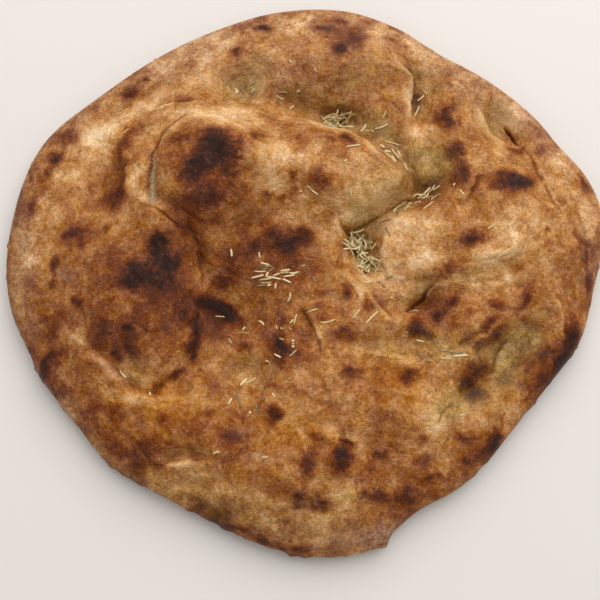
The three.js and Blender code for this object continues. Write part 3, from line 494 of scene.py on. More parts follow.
def outline_radii():
    """The smooth outline as a radius for each whole degree."""
    curve = smooth_curve(OUTLINE, True, OUTLINE_STEPS)[:-1]
    degrees = np.degrees(np.arctan2(curve[:, 1], curve[:, 0])) % 360
    order = np.argsort(degrees)
    return np.interp(np.arange(360), degrees[order], np.hypot(*curve[order].T), period=360)


EDGE_RADII = outline_radii()


def edge_radius(angle):
    """Distance from the middle to the smooth outline, at angles in radians."""
    return np.interp(np.degrees(angle), np.arange(360), EDGE_RADII, period=360)


def edge_inset(x, y):
    """How far a place lies inside the smooth outline."""
    return edge_radius(np.arctan2(y, x)) - np.hypot(x, y)


def plain_height(inset):
    """The loaf's top without its relief: a round shoulder that rises to the crown."""
    opening = 1 - np.clip(inset / SHOULDER_WIDTH, 0, 1)
    rise = (1 - opening**SHOULDER_POWER) ** (1 / SHOULDER_POWER)
    return GIRTH_HEIGHT + (CROWN_HEIGHT - GIRTH_HEIGHT) * rise


def end_fade(share):
    """1 along most of a crease, and down to 0 at either end."""
    return smoothstep(np.minimum(share, 1 - share) / CREASE_FADE)


def crease_height(x, y, reach, depth, step, width, path):
    near, distance, _, bank, share = nearest_on_path(x, y, path, CREASE_CUTOFF * reach)
    furrow = -depth * np.exp(-((distance / width) ** 2))
    banks = step / 2 * bank * np.tanh(2 * distance / width) * np.exp(-distance / reach)
    height = np.zeros(x.shape)
    height[near] = (furrow + banks) * end_fade(share)
    return height


def unevenness(x, y):
    """Slow waves all over the loaf, as in the solid."""
    broad = np.sin(x / 19 + 1.3) * np.cos(y / 23 - 0.4)
    fine = np.sin((x + y) / 11) * np.cos((x - 1.4 * y) / 13 + 2)
    return 1.1 * broad + 0.7 * fine


def drifted(x, y):
    """Places moved by up to 1.4 mm, as in the solid, so that no swell or crease has an even line."""
    return (
        x + 0.9 * np.sin(y / 8 + 1) + 0.5 * np.sin(y / 4.1 + x / 7),
        y + 0.9 * np.sin(x / 9 - 0.5) + 0.5 * np.sin(x / 4.7 - y / 6),
    )


def bubbles_height(x, y):
    """Many small blisters at seeded random places."""
    random = np.random.default_rng(BUBBLE_SEED)
    height = np.zeros(x.shape)
    for _ in range(BUBBLES):
        angle, reach = random.uniform(0, 2 * math.pi), BUBBLED_RADIUS * math.sqrt(random.uniform())
        radius, rise = random.uniform(*BUBBLE_RADII), random.uniform(*BUBBLE_RISES)
        stretch, turn = random.uniform(*BUBBLE_STRETCHES), random.uniform(0, 180)
        middle_x, middle_y = reach * math.cos(angle), reach * math.sin(angle)
        place = in_ellipse(x, y, middle_x, middle_y, radius, radius * stretch, turn)
        height += rise * np.exp(-(place**BUBBLE_STEEPNESS))
    return height


def form_relief(x, y):
    """Height of the swells and creases that the solid has too."""
    feature_x, feature_y = drifted(x, y)
    relief = unevenness(x, y)
    for middle_x, middle_y, long, wide, turn, rise, power in SWELLS.values():
        place = in_ellipse(feature_x, feature_y, middle_x, middle_y, long, wide, turn)
        relief = relief + rise * np.exp(-(place**power))
    for crease in CREASES.values():
        relief = relief + crease_height(feature_x, feature_y, BANK_REACH, *crease)
    return relief


def fine_relief(x, y):
    """Height of the cracks, bubbles and roughness that only this mesh has."""
    relief = layered_noise(x, y, RELIEF_OCTAVES, RELIEF_SEED) + bubbles_height(x, y)
    relief = relief + SPOT_RISE * patch_field(x, y, BROWN_PATCHES)
    feature_x, feature_y = strayed(x, y, WRINKLE_DRIFT, WRINKLE_DRIFT_SEEDS)
    for wrinkle in WRINKLES.values():
        relief = relief + crease_height(feature_x, feature_y, WRINKLE_REACH, *wrinkle)
    return relief


def crust_height(x, y):
    inset = edge_inset(x, y)
    form = form_relief(x, y) * smoothstep(inset / FADE_WIDTH)
    rough = fine_relief(x, y) * smoothstep(inset / FINE_FADE_WIDTH)
    return plain_height(inset) + form + rough


# ---- Mesh of the loaf ------------------------------------------------------------------------------

def mesh_object(name, positions, faces, attributes, material):
    """A smooth shaded object from positions in metres, with named numbers for its vertices."""
    mesh = bpy.data.meshes.new(name)
    mesh.from_pydata(positions.tolist(), [], faces.tolist())
    for label, values in attributes.items():
        kind, field = ("FLOAT", "value") if values.ndim == 1 else ("FLOAT_VECTOR", "vector")
        attribute = mesh.attributes.new(label, kind, "POINT")
        attribute.data.foreach_set(field, values.astype(np.float32).ravel())
    mesh.polygons.foreach_set("use_smooth", np.ones(len(mesh.polygons), bool))
    mesh.materials.append(material)
    mesh.update()
    piece = bpy.data.objects.new(name, mesh)
    bpy.context.scene.collection.objects.link(piece)
    return piece


def ring_start(ring):
    """The first vertex of a ring. Ring 0 is the single one in the middle."""
    return 0 if ring == 0 else 1 + SECTORS * ring * (ring - 1) // 2


def ring_angles(ring):
    return 2 * math.pi * np.arange(SECTORS * ring) / (SECTORS * ring)


def edge_stray(angle):
    """How far the widest line strays from the smooth outline."""
    radius = edge_radius(angle)
    stray = layered_noise(radius * np.cos(angle), radius * np.sin(angle), RAGGED_EDGE, RAGGED_EDGE_SEED)
    for place, half_width, amount in EDGE_BUMPS:
        stray += amount * np.exp(-(((np.degrees(angle) - place) / half_width) ** 2))
    return stray


def top_places():
    """The disc of rings from the middle to the widest line, as x and y."""
    x, y = [np.zeros(1)], [np.zeros(1)]
    for ring in range(1, TOP_RINGS + 1):
        share = ring / TOP_RINGS
        reach = share + (math.sin(share * math.pi / 2) - share) * EDGE_CROWDING
        angle = ring_angles(ring)
        radius = reach * edge_radius(angle)
        if ring == TOP_RINGS:
            radius = radius + edge_stray(angle)
        x.append(radius * np.cos(angle))
        y.append(radius * np.sin(angle))
    return np.concatenate(x), np.concatenate(y)


def crowd_to_wrinkles(x, y):
    """Draw places in towards the wrinkles, whose sharp edges need more vertices."""
    for *_, path in WRINKLES.values():
        near, distance, offset, _, _ = nearest_on_path(x, y, path, WRINKLE_CROWDING_REACH)
        fade = smoothstep(edge_inset(x[near], y[near]) / WRINKLE_CROWDING_FADE)
        pull = WRINKLE_CROWDING * (1 - smoothstep(distance / WRINKLE_CROWDING_REACH)) * fade
        x[near] -= pull * offset[:, 0]
        y[near] -= pull * offset[:, 1]


def top_faces():
    """Two kinds of triangle fill each sector of a ring: on its outer line, and on its inner line."""
    faces = []
    for ring in range(1, TOP_RINGS + 1):
        inner_start, outer_start = ring_start(ring - 1), ring_start(ring)
        inner_count, outer_count = max(SECTORS * (ring - 1), 1), SECTORS * ring
        for sector in range(SECTORS):
            step = np.arange(ring)
            outer = sector * ring + step
            inner = sector * (ring - 1) + step
            faces.append(np.stack([
                inner_start + inner % inner_count,
                outer_start + outer % outer_count,
                outer_start + (outer + 1) % outer_count,
            ], 1))
            inner, outer = inner[:-1], outer[:-1]
            faces.append(np.stack([
                inner_start + inner % inner_count,
                outer_start + (outer + 1) % outer_count,
                inner_start + (inner + 1) % inner_count,
            ], 1))
    return np.concatenate(faces)


def side_places():
    """Rings that curve down and in from the widest line to the underside, as x, y and z."""
    angle = ring_angles(TOP_RINGS)
    widest = edge_radius(angle) + edge_stray(angle)
    rings = []
    for ring in range(1, SIDE_RINGS + 1):
        fall = ring / SIDE_RINGS * math.pi / 2
        radius = widest - FOOT_INSET * (1 - math.cos(fall))
        height = np.full(angle.shape, GIRTH_HEIGHT * (1 - math.sin(fall)))
        rings.append(np.stack([radius * np.cos(angle), radius * np.sin(angle), height], 1))
    return np.concatenate(rings)


def side_faces():
    """Bands between the side's rings, and a fan round the last vertex for the underside."""
    count = SECTORS * TOP_RINGS
    place = np.arange(count)
    following = (place + 1) % count
    faces = []
    for ring in range(SIDE_RINGS):
        upper = ring_start(TOP_RINGS) + ring * count
        lower = upper + count
        faces.append(np.stack([upper + place, lower + place, upper + following], 1))
        faces.append(np.stack([upper + following, lower + place, lower + following], 1))
    foot = ring_start(TOP_RINGS) + SIDE_RINGS * count
    faces.append(np.stack([foot + following, foot + place, np.full(count, foot + count)], 1))
    return np.concatenate(faces)


# ---- Fields of browning, painted shade and highlights ------------------------------------------------

def wrinkle_tint(x, y, depth, step, width, path):
    """Painted shade in a wrinkle and at its step's foot, and a lip on its higher bank paler partly by
    painted highlight.
    """
    near, distance, _, bank, share = nearest_on_path(x, y, path, TINT_CUTOFF * (width + LIP_WIDTH))
    crack = CRACK_SHADE * max(depth, 0) * np.exp(-((distance / width) ** 2))
    lip = LIP_PALENESS_AND_HIGHLIGHT * (bank * step > 0) * np.exp(-(((distance - width) / LIP_WIDTH) ** 2))
    foot_width = STEP_FOOT_SPREAD * width
    foot = STEP_FOOT_SHADE * (bank * step < 0) * np.exp(-((distance / foot_width) ** 2))
    tint = np.zeros(x.shape)
    tint[near] = (crack + abs(step) * (foot - lip)) * end_fade(share)
    return tint


def rawness(x, y):
    """1 on the torn dough in the crescent crack, and 0 on the crust."""
    feature_x, feature_y = strayed(x, y, WRINKLE_DRIFT, WRINKLE_DRIFT_SEEDS)
    near, distance, _, _, share = nearest_on_path(feature_x, feature_y, RAW_WALL, TINT_CUTOFF * RAW_WIDTH)
    raw = np.zeros(x.shape)
    raw[near] = np.exp(-((distance / (RAW_WIDTH * (RAW_TAPER + (1 - RAW_TAPER) * share))) ** 3))
    return raw


def rim_browning(x, y, z):
    """What the rim adds: a browner foot, a faint band, and mottles that go up and down."""
    inset = edge_inset(x, y)
    foot = FOOT_BROWNING * smoothstep(1 - z / FOOT_BROWNING_HEIGHT)
    band = RIM_BROWNING * np.exp(-(((inset - RIM_BAND[0]) / RIM_BAND[1]) ** 2))
    mottles = layered_noise(x, y, RIM_MOTTLES, RIM_MOTTLES_SEED)
    return foot + band + mottles * (1 - smoothstep(inset / RIM_MOTTLED_WIDTH - 1))


def browning_and_shade(x, y, z):
    """The crust's plain tone with its painted shade and highlights, and what its scorches and brown spots
    add.
    """
    drift_x, drift_y = strayed(x, y, PATCH_DRIFT, BROWNING_DRIFT_SEEDS)
    feature_x, feature_y = strayed(x, y, WRINKLE_DRIFT, WRINKLE_DRIFT_SEEDS)
    plain = BASE_BROWNING + patch_field(drift_x, drift_y, BROAD_BROWNING_AND_SHADE + PALE_PATCHES)
    plain += layered_noise(x, y, UNEVEN_BROWNING, UNEVEN_BROWNING_SEED) + rim_browning(x, y, z)
    # The wrinkles' painted shade and highlights.
    plain += sum(wrinkle_tint(feature_x, feature_y, *wrinkle) for wrinkle in WRINKLES.values())
    total = plain + patch_field(drift_x, drift_y, SCORCHES_AND_PIT_SHADE + BROWN_PATCHES, SPOT_STEEPNESS)
    burnt = BURNT_BROWNING + BURNT_SPREAD * np.tanh((total - BURNT_BROWNING) / BURNT_SPREAD)
    total = np.where(total < BURNT_BROWNING, total, burnt)
    plain = np.minimum(plain, total)
    return plain, total - plain


def oil_and_shade_share(x, y, z):
    """Share of the olive colour of greasy dough, partly painted shade in the hollows, on the top only."""
    drift_x, drift_y = strayed(x, y, PATCH_DRIFT, OIL_AND_SHADE_DRIFT_SEEDS)
    return np.clip(patch_field(drift_x, drift_y, OILED_AND_SHADED_PATCHES), 0, 1) * (z > GIRTH_HEIGHT)


def grain(x, y, z):
    """A place in the noise that streaks the crust, along the relief's lines of equal height."""
    relief = z - plain_height(edge_inset(x, y))
    return np.stack([relief / GRAIN_RISE, x / GRAIN_LENGTH, y / GRAIN_LENGTH], 1)


def make_loaf(material):
    x, y = top_places()
    crowd_to_wrinkles(x, y)
    top = np.stack([x, y, crust_height(x, y)], 1)
    positions = np.vstack([top, side_places(), [[0.0, 0.0, 0.0]]])
    x, y, z = positions.T
    plain, spots = browning_and_shade(x, y, z)
    attributes = {
        # The crust's tone carries painted shade and highlights from the wrinkles, hollows and wide
        # patches.
        "browning_and_shade": plain,
        "spots": spots,
        "oil_and_shade": oil_and_shade_share(x, y, z),
        "flour": np.clip(patch_field(x, y, FLOURED_PATCHES), 0, 1),
        "raw": rawness(x, y),
        "grey": patch_field(x, y, GREY_PATCHES),
        "grain": grain(x, y, z),
    }
    faces = np.vstack([top_faces(), side_faces()])
    return mesh_object("loaf", positions * MM, faces, attributes, material)


# ---- Materials ---------------------------------------------------------------------------------------

def srgb(red, green, blue):
    """A linear colour from 8-bit display values."""
    def linear(level):
        level /= 255
        return level / 12.92 if level <= 0.04045 else ((level + 0.055) / 1.055) ** 2.4
    return (linear(red), linear(green), linear(blue), 1.0)


# Browning or tone from 0 to 1, and its colour.
CRUST_COLOURS = [
    (0.00, srgb(244, 217, 176)),
    (0.16, srgb(229, 188, 139)),
    (0.29, srgb(209, 159, 104)),
    (0.40, srgb(184, 128, 71)),
    (0.50, srgb(158, 98, 46)),
    (0.60, srgb(129, 69, 27)),
    (0.70, srgb(99, 46, 16)),
    (0.82, srgb(68, 30, 12)),
    (0.94, srgb(40, 18, 10)),
]
# Colours of oiled dough, olive, which also stand for painted shade in the hollows.
OILED_AND_SHADED_COLOURS = [
    (0.00, srgb(230, 201, 148)),
    (0.25, srgb(201, 162, 102)),
    (0.42, srgb(167, 127, 68)),
    (0.58, srgb(123, 86, 38)),
    (0.78, srgb(74, 45, 15)),
    (1.00, srgb(34, 20, 8)),
]
RAW_COLOURS = [(0.3, srgb(206, 178, 134)), (0.7, srgb(146, 118, 80))]
NEEDLE_COLOURS = [
    (0.0, srgb(104, 84, 46)),
    (0.3, srgb(160, 136, 84)),
    (0.6, srgb(208, 186, 132)),
    (1.0, srgb(240, 222, 174)),
]
FLOUR_COLOUR = srgb(224, 188, 156)
FLOOR_COLOUR = srgb(232, 227, 222)

# Feature size in millimetres, detail, roughness, distortion.
NOISES = {
    "wide mottling": (11.0, 8.0, 0.62, 0.8),
    "small mottling": (4.8, 6.0, 0.66, 1.6),
    "fine mottling": (2.3, 5.0, 0.68, 1.4),
    "stipple": (1.1, 3.0, 0.65, 0.0),
    "mottling in spots": (3.0, 8.0, 0.74, 0.8),
    "uneven grey": (6.0, 4.0, 0.6, 0.0),
    "uneven gloss": (5.0, 2.0, 0.5, 0.0),
    "torn dough": (1.5, 3.0, 0.6, 0.0),
    "grains of flour": (3.4, 9.0, 0.82, 0.0),
    "needle blotches": (1.6, 2.0, 0.5, 0.0),
    "needle skin": (0.5, 2.0, 0.5, 0.0),
}
# Strokes for each unit of the grain, detail, roughness.
STREAKS = {
    "bands": (0.35, 4.0, 0.6),
    "strokes": (1.0, 5.0, 0.62),
    "fine strokes": (2.6, 4.0, 0.65),
}
# Size of the cells in millimetres, radius of a speck in its cell, and more of them with a higher share.
SPECKS = {
    "blisters": (1.5, 0.42, 0.4),
    "pores": (3.1, 0.16, 0.5),
}
SPECK_STEEPNESS = 6

# Steepness of a pattern's edges, and how far it goes up and down.
BROWNING_MOTTLES = {
    "wide mottling": (5.0, 0.05),
    "small mottling": (4.5, 0.042),
    "bands": (3.5, 0.035),
    "strokes": (1.8, 0.055),
}
BRIGHTNESS_MOTTLES = {
    "fine mottling": (4.0, 0.22),
    "strokes": (1.8, 0.26),
    "fine strokes": (2.6, 0.24),
    "stipple": (2.4, 0.13),
}
GREY_MOTTLES = {"uneven grey": (4.0, 0.05)}
GREYNESS_OF_BRIGHTNESS = 0.25  # a brighter place is greyer too, by this share
SPOT_STEEPNESS_INSIDE = 3.6
SPOT_STRENGTH = (0.7, 0.6)  # least, and what the mottling in a spot adds at most
BLISTER_PALENESS = 0.06
PORE_BROWNING = 0.3
FLOUR_STEEPNESS = 6.0
FLOUR_COVER = 0.65
CRUST_ROUGHNESS = 0.66
ROUGHNESS_CHANGE = 0.1  # up and down from that
OIL_GLOSS = 0.18  # how much less rough it is where it is oiled
CRUST_SPECULAR = 0.2
CRUST_BUMPS = {"strokes": 0.45, "stipple": 0.3, "blisters": 0.25}  # height in millimetres
CRUST_BUMP_STRENGTH = 0.8
NEEDLE_BLOTCHES = 0.25
NEEDLE_ROUGHNESS = 0.6
NEEDLE_BUMP = 0.15
NEEDLE_BUMP_STRENGTH = 0.5
FLOOR_ROUGHNESS = 0.75


class Nodes:
    """One material, with short ways to add and join its shader nodes."""

    def __init__(self, name):
        self.material = bpy.data.materials.new(name)
        self.material.use_nodes = True
        self.tree = self.material.node_tree
        self.shader = self.tree.nodes["Principled BSDF"]
        self.patterns = {}

    def add(self, kind, **settings):
        node = self.tree.nodes.new(kind)
        for key, value in settings.items():
            setattr(node, key, value)
        return node

    def join(self, output, socket):
        self.tree.links.new(output, socket)

    def fill(self, socket, value):
        if isinstance(value, bpy.types.NodeSocket):
            self.join(value, socket)
        else:
            socket.default_value = value

    def attribute(self, name):
        return self.add("ShaderNodeAttribute", attribute_name=name).outputs["Fac"]

    def math(self, operation, a, b, clamp=False):
        node = self.add("ShaderNodeMath", operation=operation, use_clamp=clamp)
        self.fill(node.inputs[0], a)
        self.fill(node.inputs[1], b)
        return node.outputs[0]

    def times(self, a, b, clamp=False):
        return self.math("MULTIPLY", a, b, clamp)

    def total(self, *values):
        return functools.reduce(lambda a, b: self.math("ADD", a, b), values)

    def pattern(self, name):
        """A pattern from 0 to 1 by its name in the tables, made once in each material."""
        if name not in self.patterns:
            if name in SPECKS:
                self.patterns[name] = self.specks(*SPECKS[name])
            elif name in STREAKS:
                self.patterns[name] = self.streaks(*STREAKS[name])
            else:
                self.patterns[name] = self.noise(*NOISES[name])
        return self.patterns[name]

    def noise(self, size_mm, detail, roughness, distortion):
        """Noise that is fixed to the object."""
        place = self.add("ShaderNodeTexCoord").outputs["Object"]
        return self.noise_at(place, 1 / (size_mm * MM), detail, roughness, distortion)

    def streaks(self, scale, detail, roughness):
        """Noise in strokes that follow the grain of the crust."""
        place = self.add("ShaderNodeAttribute", attribute_name="grain").outputs["Vector"]
        return self.noise_at(place, scale, detail, roughness, 0.0)

    def noise_at(self, place, scale, detail, roughness, distortion):
        node = self.add("ShaderNodeTexNoise")
        self.join(place, node.inputs["Vector"])
        node.inputs["Scale"].default_value = scale
        node.inputs["Detail"].default_value = detail
        node.inputs["Roughness"].default_value = roughness
        node.inputs["Distortion"].default_value = distortion
        return node.outputs["Fac"]

    def specks(self, size_mm, radius, share):
        """Small round spots, 1 inside and 0 between."""
        node = self.add("ShaderNodeTexVoronoi")
        self.join(self.add("ShaderNodeTexCoord").outputs["Object"], node.inputs["Vector"])
        node.inputs["Scale"].default_value = 1 / (size_mm * MM)
        chosen = self.math("LESS_THAN", node.outputs["Color"], share)
        depth = self.math("SUBTRACT", radius, node.outputs["Distance"])
        return self.times(self.times(depth, SPECK_STEEPNESS, clamp=True), chosen)

    def centred(self, value, amount):
        """A value from 0 to 1 moved to run from -amount to amount."""
        return self.times(self.math("SUBTRACT", value, 0.5), 2 * amount)

    def sharpened(self, value, steepness):
        """The same value from 0 to 1 with steeper edges between its light and dark parts."""
        spread = self.times(self.math("SUBTRACT", value, 0.5), steepness)
        return self.math("ADD", spread, 0.5, clamp=True)

    def mottles(self, amounts):
        """The sum of named patterns, each with a steepness and an amount."""
        return self.total(*(
            self.centred(self.sharpened(self.pattern(name), steepness), amount)
            for name, (steepness, amount) in amounts.items()
        ))

    def ramp(self, value, stops):
        node = self.add("ShaderNodeValToRGB")
        elements = node.color_ramp.elements
        while len(elements) < len(stops):
            elements.new(1.0)
        for element, (place, colour) in zip(elements, stops):
            element.position = place
            element.color = colour
        self.join(value, node.inputs["Fac"])
        return node.outputs["Color"]

    def mix(self, factor, a, b):
        node = self.add("ShaderNodeMix", data_type="RGBA")
        self.fill(node.inputs["Factor"], factor)
        self.fill(node.inputs["A"], a)
        self.fill(node.inputs["B"], b)
        return node.outputs["Result"]

    def adjusted(self, colour, greyness, brightness):
        """The same colour less saturated by one share, and brighter by another."""
        node = self.add("ShaderNodeHueSaturation")
        self.join(colour, node.inputs["Color"])
        self.join(self.math("SUBTRACT", 1.0, greyness), node.inputs["Saturation"])
        self.join(self.math("ADD", 1.0, brightness), node.inputs["Value"])
        return node.outputs["Color"]

    def bump(self, height, distance_mm, strength, normal=None):
        node = self.add("ShaderNodeBump")
        node.inputs["Distance"].default_value = distance_mm * MM
        node.inputs["Strength"].default_value = strength
        self.join(height, node.inputs["Height"])
        if normal is not None:
            self.join(normal, node.inputs["Normal"])
        return node.outputs["Normal"]


def crust_shade(nodes):
    """How brown the crust is, from 0 to 1, with the painted shade and highlights that its vertices carry.
    """
    least, added = SPOT_STRENGTH
    inside = nodes.sharpened(nodes.pattern("mottling in spots"), SPOT_STEEPNESS_INSIDE)
    spots = nodes.times(nodes.attribute("spots"), nodes.math("ADD", nodes.times(inside, added), least))
    blisters = nodes.times(nodes.pattern("blisters"), -BLISTER_PALENESS)
    pores = nodes.times(nodes.pattern("pores"), PORE_BROWNING)
    shade = nodes.total(nodes.attribute("browning_and_shade"), spots, nodes.mottles(BROWNING_MOTTLES), blisters)
    return nodes.math("ADD", shade, pores, clamp=True)


def crust_colour(nodes):
    """The browned crust, with its greasy olive patches, painted shade in its hollows and creases, and raw
    dough and flour on it.
    """
    shade = crust_shade(nodes)
    # The oiled colour is partly painted shade in the hollows and on the bulge's shaded side.
    browned, oiled_and_shaded = nodes.ramp(shade, CRUST_COLOURS), nodes.ramp(shade, OILED_AND_SHADED_COLOURS)
    colour = nodes.mix(nodes.attribute("oil_and_shade"), browned, oiled_and_shaded)
    brightness = nodes.mottles(BRIGHTNESS_MOTTLES)
    brighter_grey = nodes.times(brightness, GREYNESS_OF_BRIGHTNESS)
    grey = nodes.total(nodes.attribute("grey"), nodes.mottles(GREY_MOTTLES), brighter_grey)
    colour = nodes.adjusted(colour, grey, brightness)
    dough = nodes.ramp(nodes.pattern("torn dough"), RAW_COLOURS)
    colour = nodes.mix(nodes.attribute("raw"), colour, dough)
    grains = nodes.sharpened(nodes.pattern("grains of flour"), FLOUR_STEEPNESS)
    dust = nodes.times(nodes.attribute("flour"), grains)
    return nodes.mix(nodes.times(dust, FLOUR_COVER, clamp=True), colour, FLOUR_COLOUR)


def crust_material():
    nodes = Nodes("baked crust")
    gloss = nodes.times(nodes.attribute("oil_and_shade"), -OIL_GLOSS)
    uneven = nodes.centred(nodes.pattern("uneven gloss"), ROUGHNESS_CHANGE)
    roughness = nodes.total(gloss, nodes.math("ADD", uneven, CRUST_ROUGHNESS))
    normal = None
    for name, distance_mm in CRUST_BUMPS.items():
        normal = nodes.bump(nodes.pattern(name), distance_mm, CRUST_BUMP_STRENGTH, normal)
    nodes.join(crust_colour(nodes), nodes.shader.inputs["Base Color"])
    nodes.join(roughness, nodes.shader.inputs["Roughness"])
    nodes.join(normal, nodes.shader.inputs["Normal"])
    nodes.shader.inputs["Specular IOR Level"].default_value = CRUST_SPECULAR
    return nodes.material


def needle_material():
    nodes = Nodes("dried rosemary")
    blotches = nodes.centred(nodes.pattern("needle blotches"), NEEDLE_BLOTCHES)
    tone = nodes.math("ADD", nodes.attribute("tone"), blotches, clamp=True)
    nodes.join(nodes.ramp(tone, NEEDLE_COLOURS), nodes.shader.inputs["Base Color"])
    normal = nodes.bump(nodes.pattern("needle skin"), NEEDLE_BUMP, NEEDLE_BUMP_STRENGTH)
    nodes.join(normal, nodes.shader.inputs["Normal"])
    nodes.shader.inputs["Roughness"].default_value = NEEDLE_ROUGHNESS
    return nodes.material


def floor_material():
    nodes = Nodes("pale floor")
    nodes.shader.inputs["Base Color"].default_value = FLOOR_COLOUR
    nodes.shader.inputs["Roughness"].default_value = FLOOR_ROUGHNESS
    return nodes.material


# ---- Rosemary ------------------------------------------------------------------------------------------

NEEDLE_WIDTH = 1.1
NEEDLE_THICKNESS = 0.8
NEEDLE_CLEARANCE = 0.3 * NEEDLE_THICKNESS  # of its middle line over the crust
NEEDLE_STATIONS = 9  # cross sections along a needle
NEEDLE_SIDES = 8
NEEDLE_BOW = 0.16  # at most, as a share of its length
NEEDLE_TILT = 0.5  # one end rises by at most this share of the needle's lift over the crust
NEEDLE_TILT_LIFT = 0.6  # and a higher lift counts as this
NEEDLE_BLUNTNESS = 9  # more is blunter
NEEDLE_FOOT = 0.2  # share by which it narrows at its foot
NEEDLE_END = 0.3  # share of its width that is left at either end
NEEDLE_GIRTHS = (0.7, 1.15)  # from thin to thick
NEEDLE_GROOVE = (0.45, 0.5)  # along its back: depth as a share, and half width in radians
NEEDLE_TONES = (0.1, 0.95)  # from dark to light
HEAPED_LENGTHS = (4, 8.5)
ROSEMARY_SEED = 73

